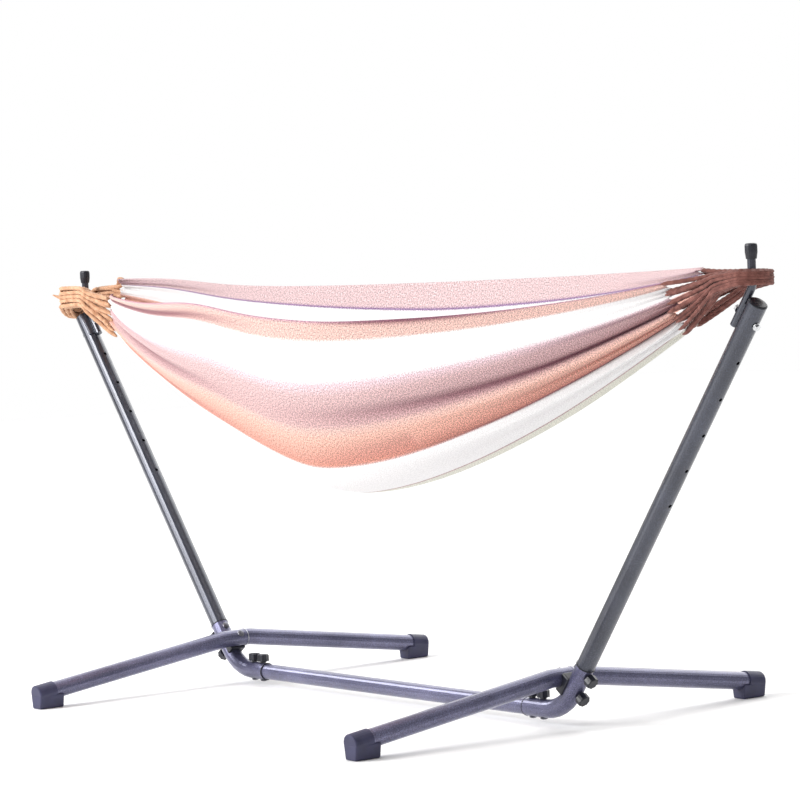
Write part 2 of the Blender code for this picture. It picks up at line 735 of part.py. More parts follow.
def section_line(x, samples=120):
    """Points of the cloth's cross-section at x, near edge first, and the run up to each."""
    half = bed_half_width(x)
    bottom = bottom_height(x)
    points = []
    for index in range(samples + 1):
        share = 2 * index / samples - 1
        edge = near_edge_height(x) if share < 0 else far_edge_height(x)
        height = bottom + (edge - bottom) * abs(share) ** BED_SECTION_POWER
        points.append(Vector((x, half * share, height)))
    runs = [0.0]
    for before, after in zip(points, points[1:]):
        runs.append(runs[-1] + (after - before).length)
    return points, runs


def section_point(line, share):
    """The point at a share of the way round a cross-section."""
    points, runs = line
    goal = share * runs[-1]
    for index in range(1, len(runs)):
        if runs[index] >= goal:
            step = (goal - runs[index - 1]) / (runs[index] - runs[index - 1])
            return points[index - 1].lerp(points[index], step)
    return points[-1]


def bed_mesh():
    """The cloth bed as a thin closed shell with its pleats."""
    columns = PLEATS * PLEAT_POINTS
    grid = []
    for row in range(BED_ROWS + 1):
        place_share = (1 + math.sin(math.pi / 2 * (2 * row / BED_ROWS - 1))) / 2
        x = bed_end(-1) + (bed_end(1) - bed_end(-1)) * place_share
        line = section_line(x)
        gather = abs(bed_share(x)) ** PLEAT_FADE
        depth = PLEAT_MIDDLE + (PLEAT_END - PLEAT_MIDDLE) * gather
        points = []
        for column in range(columns + 1):
            share = column / columns
            spot = section_point(line, share)
            ahead = section_point(line, min(1.0, share + 0.01))
            behind = section_point(line, max(0.0, share - 0.01))
            outward = (ahead - behind).normalized().cross(OUT)
            wave = math.sin(2 * math.pi * PLEATS * share)
            points.append(spot + outward * (depth * wave))
        grid.append(points)
    shape = bmesh.new()
    sheets = []
    for flip in (1, -1):
        sheet = []
        for row, points in enumerate(grid):
            layer = []
            for column, spot in enumerate(points):
                along = grid[min(row + 1, BED_ROWS)][column] - grid[max(row - 1, 0)][column]
                over = points[min(column + 1, columns)] - points[max(column - 1, 0)]
                normal = over.cross(along).normalized()
                if row in (0, BED_ROWS):
                    normal = (normal - OUT * normal.x).normalized()
                layer.append(shape.verts.new(spot + normal * (flip * BED_THICKNESS / 2)))
            sheet.append(layer)
        sheets.append(sheet)
    for sheet in sheets:
        for low, high in zip(sheet, sheet[1:]):
            for index in range(columns):
                shape.faces.new((low[index], low[index + 1], high[index + 1], high[index]))
    top, under = sheets
    for row in range(BED_ROWS):
        for index in (0, columns):
            shape.faces.new((top[row][index], top[row + 1][index],
                             under[row + 1][index], under[row][index]))
    for index in range(columns):
        for row in (0, BED_ROWS):
            shape.faces.new((top[row][index], top[row][index + 1],
                             under[row][index + 1], under[row][index]))
    return smooth(to_mesh(shape, "bed"), 60)


def tight_loop():
    """Loop round the prong alone: far end, half width, droop and half height there."""
    bight = rod_corner().x + ROD_RADIUS + SEAT_GAP + ROPE_RADIUS
    half_width = ROD_RADIUS + TIGHT_PLAY + ROPE_RADIUS
    return bight, half_width, 0.0, ROPE_HALF_HEIGHT


def slack_loop():
    """Loop round the prong and the post's head, which droops outside the head."""
    head = post_point(BEND_RADIUS, POST_TOP + SEAT_GAP + POST_CAP_DOME)
    bight = head.x + SLACK_BIGHT_PLAY + ROPE_RADIUS
    half_width = BEND_RADIUS + SLACK_PLAY + ROPE_RADIUS
    return bight, half_width, SLACK_DROOP, SLACK_HALF_HEIGHT


def stand_offset():
    """Place of the stand's middle plane, with the origin midway between the part's two ends."""
    left_reach = slack_loop()[0] + TAIL_LENGTH
    right_reach = tight_loop()[0] + ROPE_RADIUS
    return (left_reach - right_reach) / 2


def eye_rings(side, loop):
    """Rings of a loop from one gathered neck, round its far end, to the other neck."""
    bight, half_width, droop, half_height = loop
    neck = rod_corner().x - EYE_REACH
    limit = math.pi - math.asin(EYE_NECK_HALF / half_width)
    middle = (neck - bight * math.cos(limit)) / (1 - math.cos(limit))
    spots = []
    heights = []
    for step in range(EYE_STEPS + 1):
        angle = limit * (2 * step / EYE_STEPS - 1)
        sink = max(0.0, math.cos(angle)) ** SLACK_HANG_POWER
        spots.append(Vector((side * (middle + (bight - middle) * math.cos(angle)),
                             half_width * math.sin(angle), -droop * sink)))
        heights.append(ROPE_HALF_HEIGHT + (half_height - ROPE_HALF_HEIGHT) * sink)
    rings = []
    for index, spot in enumerate(spots):
        run = spots[min(index + 1, EYE_STEPS)] - spots[max(index - 1, 0)]
        out = Vector((run.x, run.y, 0)).normalized().cross(UP)
        rings.append(circle(spot, out, UP, ROPE_RADIUS, EYE_SIDES, heights[index]))
    return rings, (spots[0], spots[-1])


def tail_mesh(side, loop):
    """Loose end that tapers outward from the slack loop's far end."""
    bight, half_width, droop, half_height = loop
    start = Vector((side * bight, 0, TAIL_LIFT - droop))
    tip = start + OUT * (side * TAIL_LENGTH) - ACROSS * TAIL_ASIDE
    base = half_height - TAIL_LIFT
    return skin([circle(start, ACROSS, UP, base, EYE_SIDES),
                 circle(tip, ACROSS, UP, TAIL_TIP_RADIUS, EYE_SIDES)], "tail")


def strand_mesh(side, index, necks):
    """One strand from the gathered cloth to its branch of the loop."""
    line = section_line(bed_end(side))
    start = section_point(line, (index + 0.5) / STRAND_COUNT)
    start.x += side * SEAT_GAP
    half = STRAND_COUNT // 2
    neck = necks[0] if index < half else necks[1]
    level = index if index < half else STRAND_COUNT - 1 - index
    lift = STRAND_STACK * ((half - 1) / 2 - level)
    end = neck + Vector((side * ROPE_RADIUS, 0, lift))
    rings = []
    for step in range(STRAND_STEPS + 1):
        share = step / STRAND_STEPS
        spot = start.lerp(end, share) - UP * (STRAND_SAG * math.sin(math.pi * share))
        rings.append(circle(spot, ACROSS, UP, STRAND_RADIUS, STRAND_SIDES))
    return skin(rings, "strand")


def clew_mesh(side):
    """Strands and loop of one end, as one body."""
    loop = tight_loop() if side > 0 else slack_loop()
    rings, ends = eye_rings(side, loop)
    necks = sorted(ends, key=lambda spot: spot.y)
    pieces = [strand_mesh(side, index, necks) for index in range(STRAND_COUNT)]
    if side < 0:
        pieces.append(tail_mesh(side, loop))
    eye = skin(rings, "eye")
    return smooth(combined(eye, pieces, "UNION", "clew", overlapping=True), 50)


def build():
    remove_everything()
    frame_paint = make_material("slate_powder_coat", (0.085, 0.09, 0.125), 0.42, 0.55)
    cap_rubber = make_material("navy_rubber", (0.018, 0.02, 0.045), 0.55, 0.0)
    black_plastic = make_material("black_plastic", (0.02, 0.02, 0.03), 0.45, 0.0)
    zinc = make_material("zinc_steel", (0.62, 0.64, 0.66), 0.3, 1.0)
    cloth = make_material("striped_cotton", (0.78, 0.5, 0.42), 0.9, 0.0)
    cord = make_material("terracotta_cord", (0.5, 0.2, 0.1), 0.85, 0.0)

    middle = empty("stand_middle", location=(stand_offset(), 0, 0))
    base = base_mesh()
    place("base_tube", base, frame_paint, middle, (0, 0, CORNER_Z))

    elbow = elbow_mesh()
    post = post_mesh()
    post_cap = post_cap_mesh()
    saddle = saddle_mesh()
    foot_cap = foot_cap_mesh()
    post_bolt = bolt_mesh(BEND_DIAMETER)
    leg_bolt = bolt_mesh(BEND_DIAMETER + SADDLE_WEB + LEG_DIAMETER)
    knob = knob_mesh()
    hook = hook_mesh()
    tip = hook_tip_mesh()
    hook_bolt = hook_bolt_mesh()
    hook_nut = hook_nut_mesh()

    quarter = math.pi / 2
    half = math.pi
    outward = (0, quarter, 0)
    inward = (0, -quarter, 0)
    leg_x = post_point(-LEG_OFFSET, LEG_SEAT).x
    nut_x = -(ROD_OFFSET + ROD_RADIUS - NUT_SPOT_DEPTH)
    prong_top = rod_corner() + UP * PRONG_HEIGHT
    crown = CORNER_Z + BEND_RADIUS

    for name, side in (("left", -1), ("right", 1)):
        end = empty(name + "_end", middle, turn=(0, 0, 0 if side > 0 else half))
        frame = empty(name + "_post_frame", end, (CORNER_X, 0, CORNER_Z), (0, POST_LEAN, 0))
        place(name + "_elbow", elbow, frame_paint, end, (CORNER_X, 0, CORNER_Z))
        place(name + "_post", post, frame_paint, frame)
        place(name + "_post_cap", post_cap, black_plastic, frame)
        place(name + "_leg_saddle", saddle, black_plastic, frame)
        place(name + "_post_bolt", post_bolt, zinc, frame,
              (BEND_RADIUS, 0, POST_BOLT_SEAT), outward)
        place(name + "_post_knob", knob, black_plastic, frame,
              (BEND_RADIUS, 0, POST_BOLT_SEAT), outward)
        place(name + "_leg_bolt", leg_bolt, zinc, frame, (BEND_RADIUS, 0, LEG_SEAT), outward)
        place(name + "_leg_knob", knob, black_plastic, frame, (BEND_RADIUS, 0, LEG_SEAT), outward)
        for label, back in (("outer", BASE_BOLT_OUTER), ("inner", BASE_BOLT_INNER)):
            spot = (CORNER_X - back, 0, crown)
            place(name + "_base_bolt_" + label, post_bolt, zinc, end, spot)
            place(name + "_base_knob_" + label, knob, black_plastic, end, spot)
        place(name + "_hook", hook, frame_paint, frame)
        place(name + "_hook_tip", tip, black_plastic, end, prong_top)
        place(name + "_hook_bolt", hook_bolt, zinc, frame,
              (BEND_RADIUS, 0, HOLE_ROW_TOP), outward)
        place(name + "_hook_nut", hook_nut, zinc, frame, (nut_x, 0, HOLE_ROW_TOP), inward)

        leg_spot = (side * leg_x, 0, leg_height())
        place(name + "_leg_front", leg_mesh(True, side), frame_paint, middle, leg_spot)
        place(name + "_leg_rear", leg_mesh(False, side), frame_paint, middle, leg_spot)
        place(name + "_foot_cap_rear", foot_cap, cap_rubber, middle,
              (side * leg_x, LEG_HALF_SPAN, 0))
        place(name + "_foot_cap_front", foot_cap, cap_rubber, middle,
              (side * leg_x, -LEG_HALF_SPAN, 0), (0, 0, half))

    swing = empty("hammock_swing_axis", middle, (0, 0, eye_height()))
    place("hammock_bed", bed_mesh(), cloth, swing)
    for name, side in (("left", -1), ("right", 1)):
        place(name + "_clew", clew_mesh(side), cord, swing)


build()
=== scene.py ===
"""Hammock with stand: cloth, cords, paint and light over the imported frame."""
import json
import math
from types import SimpleNamespace

import bpy
import numpy as np
from mathutils import Euler, Matrix, Vector, noise


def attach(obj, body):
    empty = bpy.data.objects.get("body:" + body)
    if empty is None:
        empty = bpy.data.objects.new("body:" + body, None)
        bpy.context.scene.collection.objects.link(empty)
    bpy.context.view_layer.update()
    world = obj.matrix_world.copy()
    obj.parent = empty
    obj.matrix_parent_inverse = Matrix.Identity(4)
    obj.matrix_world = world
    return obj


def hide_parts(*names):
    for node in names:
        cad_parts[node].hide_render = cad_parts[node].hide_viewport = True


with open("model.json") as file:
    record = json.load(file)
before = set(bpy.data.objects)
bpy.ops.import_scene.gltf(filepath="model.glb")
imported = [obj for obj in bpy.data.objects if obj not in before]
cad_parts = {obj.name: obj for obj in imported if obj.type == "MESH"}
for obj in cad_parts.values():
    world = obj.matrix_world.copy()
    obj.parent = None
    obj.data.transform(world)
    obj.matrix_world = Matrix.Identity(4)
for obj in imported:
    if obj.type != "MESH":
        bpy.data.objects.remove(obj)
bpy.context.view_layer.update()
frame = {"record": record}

joints = {joint["name"]: joint for joint in frame["record"]["behaviour"]["joints"]}
MIDDLE_X, MIDDLE_Y, EYE_Z = joints["hammock_swing"]["pos_m"]
ORIGIN = Vector((MIDDLE_X, MIDDLE_Y, EYE_Z))     # cloth and cords are laid out from here

SIDES = {"left": -1, "right": 1}


def places_of(node):
    """Every vertex of a node of the stand."""
    target = bpy.data.objects[node]
    return np.array([target.matrix_world @ vertex.co for vertex in target.data.vertices])


def box_of(node):
    """Least and greatest place of a node of the stand from its middle, to the micrometre."""
    places = places_of(node) - np.array((MIDDLE_X, 0, 0))
    return np.round(places.min(axis=0), 6), np.round(places.max(axis=0), 6)


# Sizes of the stand that the cloth and cords follow, from its middle, in metres
tip_low, tip_high = box_of("right_hook_tip")
PRONG_X = float(tip_low[0] + tip_high[0]) / 2
PRONG_RADIUS = float(box_of("right_hook")[1][0]) - PRONG_X
POST_RADIUS = float(box_of("right_post")[1][1])
HEAD_REACH = -float(box_of("left_post_cap")[0][0])     # outermost place of a post's head

# Sizes of the cloth
HALF_WIDTH = 0.280
END_HALF_WIDTH = {-1: 0.035, 1: 0.048}
STRAND_RUN = {-1: 0.1390, 1: 0.1920}      # prong's axis to the cloth's end
CLOTH_THICKNESS = 0.0014
ROWS = 260
COLUMNS = 380
# Lines along the cloth, in heights from the swing axis: where each is lowest and how high it is
# there, its heights at the left and right end, the powers of its rise towards them, and the
# place, breadth and height of a shoulder on it
LINE_SHAPES = {
    "near": SimpleNamespace(low_x=0.130, low=-0.0690, ends=(0.0060, -0.0032),
                            powers=(1.05, 2.65), shoulder=(-0.42, 0.22, 0.020)),
    "far": SimpleNamespace(low_x=-0.400, low=0.0060, ends=(0.0380, 0.0240),
                           powers=(2.0, 2.0), shoulder=(-1.03, 0.13, 0.014)),
    "bottom": SimpleNamespace(low_x=-0.080, low=-0.4945, ends=(-0.0955, -0.0954),
                              powers=(1.31, 1.50), shoulder=None),
}
LINE_SOFTNESS = 0.055      # how far a line's lowest place is rounded off
LINE_REACH = 1.6           # a line's table runs this far to both sides
LINE_STEP = 0.005
WINDOW_REACH = 0.2         # half breadth of the window that rounds it off
SECTION_POWER = 2.7
SECTION_PLACES = 241
# How far in the cloth's end starts, at shares of the way round
END_SLANT = {-1: ((0.0, 0.7, 1.0), (0.040, 0.0, -0.022)), 1: ((0.0, 0.3, 1.0), (0.008, 0.0, 0.0))}
SLANT_POWER = 14           # how soon the slant is gone away from the end
SCALLOP = 0.009            # how far the end falls back between two cords
SCALLOP_POWER = 60

# Folds of the gathered ends: the power by which each fades towards the cloth's middle, how many
# there are round the cloth, their height, and how much shade is painted into their hollows
GATHER_POWER = 8
GATHER_FOLDS = 8
GATHER_HEIGHT = 0.0070
GATHER_SHADE = 0.30
GATHER_PHASE = 0.6
FINE_FOLDS = 19
FINE_HEIGHT = 0.0036
FINE_PHASE = 1.7
FINE_DRIFT = 2.0           # how much the fine folds wander along the cloth
PLEAT_POWER = 26
PLEAT_HEIGHT = 0.0034
PLEAT_SHADE = 0.55
CREASE_FADE = 1.3
CREASE_SLACK = 0.001       # share of its run by which a crease may start early
# Slow unevenness of the free cloth: how quickly it changes along and across, its place in the
# noise, and its height
RIPPLES = ((1.7, 5.0, 3.1, 0.0055), (4.5, 17.0, 7.7, 0.0016))
RIPPLE_COLUMNS = 6         # every so many columns are worked out, those between are blended
RIPPLE_POWER = 6

# Sizes of the cords
CORDS = 15                 # on each branch
CORD_COLUMNS = 3
CORD_ROWS = CORDS // CORD_COLUMNS
CORD_RADIUS = {-1: 0.0058, 1: 0.0051}
CORD_PITCH = 1.90          # radii between cords side by side
ROW_SLANT = 0.22           # rows by which a cord lies lower than the one beside it
CORD_MARGIN = 0.008        # share of the cloth's end outside the first cord
CORD_SIZE = 0.94           # mean of the cords' sizes, as a share of the radius
CORD_VARIETY = 0.10        # how much they differ from it
CORD_VARIETY_RATE = 2.1    # and how that goes from one cord to the next
CORD_SIDES = 10
CORD_SPACING = 0.005       # between the rings of a cord
CURVE_STEPS = 10           # of a smooth curve between two of its points
BLUNT_END = 0.35           # share of its radius that a cord has at its end
BLUNT_GROWTH = 0.22        # and how much it gains with each ring
PLIES = 3
PLIES_PER_METRE = 58.0
PLY_DEPTH = 0.10
PLY_PHASE = 1.3            # how far the twist is turned from one cord to the next
NEARLY_UP = Vector((0.02, 0.03, 1))     # no cord starts out along it
LAP_ROWS = 12              # cloth rows that a cord is stitched over
STITCH_OUT = 0.002         # how far outside the cloth's end a cord leaves it
STITCH_COLUMNS = 2         # columns to either side that show which way the cloth faces there
BRANCH_STEPS = 5           # stretches of a branch between cloth and gate
BRANCH_SAG = 0.004
DRIFT = (0.006, 0.005)     # how far a loose cord wanders aside and up
DRIFT_RATE = (3.7, 2.0, 5.0)   # noise between cords, along a cord and between ends
ROLL = (0.0012, 0.0020)    # how far a loose cord rolls aside and up round the loop
ROLL_PHASE = 1.3

# Loops round the prongs: half thickness of the rope, the reach of what lies inside it at its far
# end and aside, its reach back to the neck, how far its far end droops, its half height there and
# at the neck, how loosely its cords lie, and how many of its places are left out at each neck,
# where the cords curve in. Both branches pass a gate beside the hook, so that they clear it when
# the hammock swings: how far it lies back from the prong's axis and aside, and how far the cords
# have sunk there towards the cloth
SEAT_GAP = 0.0003          # between the tight loop and its prong
HEAD_AIR = 0.007559        # between the slack loop's far end and the post's head
LOOPS = {
    -1: SimpleNamespace(rope=0.0135, inner_end=HEAD_REACH + HEAD_AIR,
                        inner_side=POST_RADIUS + 0.021, reach=0.060, droop=0.036,
                        far_height=0.023, neck_height=0.028, loose=1.0, bend=9,
                        gate_back=0.065361, gate_y=0.050, sunk=0.0),
    1: SimpleNamespace(rope=0.0165, inner_end=PRONG_X + PRONG_RADIUS + SEAT_GAP,
                       inner_side=PRONG_RADIUS + 0.014, reach=0.034, droop=0.0,
                       far_height=0.014, neck_height=0.015, loose=0.35, bend=8,
                       gate_back=0.061361, gate_y=0.039, sunk=0.16),
}
NECK_HALF = 0.017
LOOP_STEPS = 32
DROOP_POWER = 3

# Loose tail of the slack loop
TAIL_STRANDS = 5
TAIL_STEPS = 12
TAIL_LIFT = 0.020          # from the middle of the loop's far end to the tail's start
TAIL_RUN = Vector((-0.056, -0.036, 0.024))
TAIL_TURN = 1.5            # radians that the strands wind along it
TAIL_SPREAD = (0.0075, 0.0006)      # strands from its middle: what tapers off, and what stays
TAIL_RADIUS = (0.0046, 0.0011)
TAIL_TAPER = (1.2, 0.8)    # powers of both tapers

# Rings on the tubes' joints: how far each lies beyond the rim, how far its middle stands proud of
# it, half its thickness and half its length
RINGS = {
    "base": SimpleNamespace(shift=0.0015, proud=-0.0006, thickness=0.0012, half_length=0.0012),
    "post": SimpleNamespace(shift=0.0002, proud=0.0009, thickness=0.0006, half_length=0.0011),
    "leg": SimpleNamespace(shift=-0.0008, proud=0.0009, thickness=0.0006, half_length=0.0008),
}
RING_SIDES = 64
RING_CORNERS = 12
RIM_DEPTH = 0.0005         # vertices this close to the outermost one make up a rim

# Values of the floor and the light
FLOOR_REACH = 14.0
FLOOR_GAP = 0.0005         # below the foot caps
FLOOR_GREY = 0.95
WORLD_LIGHT = 0.42         # strength of the white surroundings as light
WORLD_SEEN = 1.0           # and as the camera sees them
# Suns: direction, strength, angular size in degrees, colour
SUNS = {
    "key": ((0.30, 1.0, -0.62), 1.5, 40, (1.0, 0.99, 0.98)),
    "back": ((0.36, -0.61, -0.71), 2.1, 70, (1.0, 1.0, 1.0)),
}
# Area lights: place, target, size, power in watts, colour
LAMPS = {
    "strip": ((-1.5, -3.6, 2.6), (-1.1, 0, 0.55), (1.2, 2.2), 120, (1.0, 1.0, 1.0)),
    "side": ((-4.8, -1.4, 3.5), (MIDDLE_X, 0, 0.1), (1.6, 1.6), 90, (0.97, 0.98, 1.0)),
}
# The photo's camera, fitted to the stand's straight tubes
LENS = 144.26              # millimetres, as the sensor's width
SENSOR_WIDTH = 36
CLIP_END = 100
CAMERA_TURN = (87.4783, 2.3578, 52.3043)     # degrees about X, Y and Z
CAMERA_SPOT = Vector((6.1056 + MIDDLE_X, -4.6373, 1.0635))


# Shader nodes
MIX_FACTOR, MIX_FIRST, MIX_SECOND, MIX_RESULT = 0, 6, 7, 2      # a Mix node's colour sockets


def new_material(name):
    material = bpy.data.materials.new(name)
    material.use_nodes = True
    nodes = material.node_tree.nodes
    return material, nodes, material.node_tree.links, nodes["Principled BSDF"]


def set_shader(shader, **values):
    for name, value in values.items():
        shader.inputs[name.replace("_", " ")].default_value = value


def ramp(nodes, links, factor, stops):
    """Colour ramp over a factor, from (place, colour or grey) pairs."""
    made = nodes.new("ShaderNodeValToRGB")
    elements = made.color_ramp.elements
    elements[0].position = stops[0][0]
    elements[1].position = stops[-1][0]
    for place, colour in stops[1:-1]:
        elements.new(place)
    for index, (place, colour) in enumerate(stops):
        shade = colour if isinstance(colour, tuple) else (colour,) * 3
        elements[index].color = (*shade, 1)
    links.new(factor, made.inputs[0])
    return made.outputs[0]


def mix(nodes, links, factor, first, second, mode="MIX"):
    made = nodes.new("ShaderNodeMix")
    made.data_type = "RGBA"
    made.blend_type = mode
    for place, value in ((MIX_FACTOR, factor), (MIX_FIRST, first), (MIX_SECOND, second)):
        if isinstance(value, float):
            made.inputs[place].default_value = value
        elif isinstance(value, tuple):
            made.inputs[place].default_value = (*value, 1)
        else:
            links.new(value, made.inputs[place])
    return made.outputs[MIX_RESULT]


def calculate(nodes, links, operation, first, second):
    made = nodes.new("ShaderNodeMath")
    made.operation = operation
    for socket, value in zip(made.inputs, (first, second)):
        if isinstance(value, float):
            socket.default_value = value
        else:
            links.new(value, socket)
    return made.outputs[0]


def mapped(nodes, links, vector, scale):
    made = nodes.new("ShaderNodeMapping")
    made.inputs["Scale"].default_value = scale
    links.new(vector, made.inputs["Vector"])
    return made.outputs[0]


def noise_of(nodes, links, vector, scale, detail, roughness):
    made = nodes.new("ShaderNodeTexNoise")
    made.inputs["Scale"].default_value = scale
    made.inputs["Detail"].default_value = detail
    made.inputs["Roughness"].default_value = roughness
    links.new(vector, made.inputs["Vector"])
    return made.outputs["Fac"]


def wave_of(nodes, links, vector, direction):
    made = nodes.new("ShaderNodeTexWave")
    made.bands_direction = direction
    made.inputs["Scale"].default_value = 1.0
    links.new(vector, made.inputs["Vector"])
    return made.outputs["Fac"]


def bump(nodes, links, shader, height, strength, distance):
    made = nodes.new("ShaderNodeBump")
    made.inputs["Strength"].default_value = strength
    made.inputs["Distance"].default_value = distance
    links.new(height, made.inputs["Height"])
    links.new(made.outputs["Normal"], shader.inputs["Normal"])


# Materials
def powder_coat(name, dark, light, coat):
    """Hammered powder coat: pebbled grain, light specks and slow clouds of tone."""
    material, nodes, links, shader = new_material(name)
    place = nodes.new("ShaderNodeTexCoord").outputs["Object"]
    grain = noise_of(nodes, links, place, scale=430.0, detail=2.0, roughness=0.6)
    cloud = noise_of(nodes, links, place, scale=8.0, detail=3.0, roughness=0.5)
    tone = ramp(nodes, links, cloud, ((0.32, dark), (0.72, light)))
    speck = ramp(nodes, links, grain, ((0.34, 0.62), (0.52, 1.0), (0.68, 1.90)))
    colour = mix(nodes, links, 0.75, tone, speck, "MULTIPLY")
    links.new(colour, shader.inputs["Base Color"])
    links.new(ramp(nodes, links, grain, ((0.3, 0.27), (0.7, 0.44))), shader.inputs["Roughness"])
    set_shader(shader, Metallic=0.60, Specular_IOR_Level=0.70, Coat_Weight=coat,
               Coat_Roughness=0.24)
    bump(nodes, links, shader, grain, strength=0.30, distance=0.0007)
    return material


def moulded(name, dark, light, roughness, grain_scale):
    """Moulded plastic or rubber: spark-eroded grain and a little dust in its tone."""
    material, nodes, links, shader = new_material(name)
    place = nodes.new("ShaderNodeTexCoord").outputs["Object"]
    grain = noise_of(nodes, links, place, scale=grain_scale, detail=2.0, roughness=0.6)
    cloud = noise_of(nodes, links, place, scale=40.0, detail=3.0, roughness=0.5)
    links.new(ramp(nodes, links, cloud, ((0.3, dark), (0.75, light))), shader.inputs["Base Color"])
    links.new(ramp(nodes, links, cloud, ((0.3, roughness - 0.06), (0.7, roughness + 0.12))),
              shader.inputs["Roughness"])
    bump(nodes, links, shader, grain, strength=0.15, distance=0.0004)
    return material


def plated_steel(name, dark, light, roughness):
    """Plated or blackened steel with faint mottling."""
    material, nodes, links, shader = new_material(name)
    place = nodes.new("ShaderNodeTexCoord").outputs["Object"]
    cloud = noise_of(nodes, links, place, scale=160.0, detail=4.0, roughness=0.6)
    links.new(ramp(nodes, links, cloud, ((0.3, dark), (0.7, light))), shader.inputs["Base Color"])
    links.new(ramp(nodes, links, cloud, ((0.3, roughness), (0.7, roughness + 0.16))),
              shader.inputs["Roughness"])
    set_shader(shader, Metallic=1.0)
    bump(nodes, links, shader, cloud, strength=0.08, distance=0.0003)
    return material


PEACH = (0.69, 0.465, 0.415)
TERRACOTTA = (0.75, 0.450, 0.370)
TERRACOTTA_DEEP = (0.66, 0.305, 0.235)
LAVENDER = (0.73, 0.56, 0.60)
MAUVE = (0.61, 0.430, 0.430)
MAUVE_DEEP = (0.58, 0.385, 0.380)
MAUVE_FAR = (0.72, 0.560, 0.570)
PURPLE = (0.23, 0.115, 0.31)
WHITE = (0.87, 0.86, 0.86)
CREAM = (0.74, 0.73, 0.65)
ROSE_LINE = (0.36, 0.17, 0.19)
# The near edge's hem, dark plum: painted shade for the shadow line along that edge
PLUM_EDGE = (0.46, 0.25, 0.34)
# Where each tone of the stripes lies, by share of the way round from the near edge
STRIPES = (
    (0.000, PLUM_EDGE), (0.006, PEACH), (0.040, PEACH), (0.046, WHITE), (0.126, WHITE),
    (0.140, LAVENDER), (0.165, MAUVE), (0.222, MAUVE_DEEP), (0.233, MAUVE_DEEP), (0.243, PEACH),
    (0.262, TERRACOTTA), (0.322, TERRACOTTA_DEEP), (0.331, TERRACOTTA_DEEP), (0.336, WHITE),
    (0.447, WHITE), (0.449, ROSE_LINE), (0.452, ROSE_LINE), (0.454, CREAM), (0.558, CREAM),
    (0.563, MAUVE), (0.655, MAUVE_DEEP), (0.660, WHITE), (0.752, WHITE), (0.757, TERRACOTTA),
    (0.842, TERRACOTTA), (0.847, WHITE), (0.939, WHITE), (0.9415, PURPLE), (0.9435, PURPLE),
    (0.946, MAUVE_FAR), (1.000, MAUVE_FAR),
)
FIRST_RAMP = 16            # stops in the first of the two colour ramps
CREASE_SHADE_TINT = (0.38, 0.24, 0.31)    # painted shade: what the colour of creased cloth is multiplied by
WEAVE_WIDTH = 1.15         # metres round the cloth, for textures laid out by shares
SPECKLES = 270             # per metre
SLUBS = (760, 60)          # per metre across and along
THREADS = 130              # per metre
TRANSLUCENCY = 0.20


def stripe_colour(nodes, links, share):
    """Stripes across the cloth, from two colour ramps that meet at a shared stop."""
    first = ramp(nodes, links, share, STRIPES[:FIRST_RAMP])
    second = ramp(nodes, links, share, STRIPES[FIRST_RAMP - 1:])
    beyond = calculate(nodes, links, "GREATER_THAN", share, STRIPES[FIRST_RAMP - 1][0])
    return mix(nodes, links, beyond, first, second)


def let_light_through(nodes, links, shader, colour):
    """Some of the light that falls on the other face shows through the cloth."""
    through = nodes.new("ShaderNodeBsdfTranslucent")
    links.new(colour, through.inputs["Color"])
    blend = nodes.new("ShaderNodeMixShader")
    blend.inputs[0].default_value = TRANSLUCENCY
    links.new(shader.outputs[0], blend.inputs[1])
    links.new(through.outputs[0], blend.inputs[2])
    links.new(blend.outputs[0], nodes["Material Output"].inputs["Surface"])


def striped_cloth():
    """Woven cotton: stripes, speckled yarn in both directions, painted shade in the creases, a
    little fuzz.
    """
    material, nodes, links, shader = new_material("striped_cloth")
    weave_map = nodes.new("ShaderNodeUVMap")
    weave_map.uv_map = "weave"
    weave_place = weave_map.outputs[0]
    parts = nodes.new("ShaderNodeSeparateXYZ")
    links.new(weave_place, parts.inputs[0])
    colour = stripe_colour(nodes, links, parts.outputs[0])
    yarn = mapped(nodes, links, weave_place, (WEAVE_WIDTH * SPECKLES, SPECKLES, 1))
    speckle = noise_of(nodes, links, yarn, scale=1.0, detail=1.0, roughness=0.6)
    drawn = mapped(nodes, links, weave_place, (WEAVE_WIDTH * SLUBS[0], SLUBS[1], 1))
    slub = noise_of(nodes, links, drawn, scale=1.0, detail=2.0, roughness=0.6)
    # Pale stripes show little of the speckle and of the painted shade of the creases
    green = nodes.new("ShaderNodeSeparateColor")
    links.new(colour, green.inputs[0])
    dye = ramp(nodes, links, green.outputs[1], ((0.40, 1.0), (0.66, 0.8), (0.88, 0.12)))
    grain = ramp(nodes, links, speckle, ((0.32, 0.52), (0.50, 1.0), (0.66, 1.60)))
    speckled = mix(nodes, links, 1.0, colour, grain, "MULTIPLY")
    colour = mix(nodes, links, dye, colour, speckled)
    uneven = ramp(nodes, links, slub, ((0.32, 0.90), (0.68, 1.08)))
    colour = mix(nodes, links, 0.6, colour, uneven, "MULTIPLY")
    # Painted shade: the colour darkens where the cloth's creases and fold hollows lie
    crease_shade = nodes.new("ShaderNodeAttribute")
    crease_shade.attribute_name = "crease_shade"
    crease_shade_weight = calculate(nodes, links, "MULTIPLY", crease_shade.outputs["Fac"], dye)
    shaded = mix(nodes, links, 1.0, colour, CREASE_SHADE_TINT, "MULTIPLY")
    colour = mix(nodes, links, crease_shade_weight, colour, shaded)
    links.new(colour, shader.inputs["Base Color"])
    set_shader(shader, Roughness=0.93, Specular_IOR_Level=0.15, Sheen_Weight=0.15,
               Sheen_Roughness=0.5)
    threads = mapped(nodes, links, weave_place, (WEAVE_WIDTH * THREADS, THREADS, 1))
    weave = calculate(nodes, links, "MULTIPLY", wave_of(nodes, links, threads, "X"),
                      wave_of(nodes, links, threads, "Y"))
    relief = calculate(nodes, links, "ADD", weave, speckle)
    bump(nodes, links, shader, relief, strength=0.35, distance=0.0007)
    let_light_through(nodes, links, shader, colour)
    return material


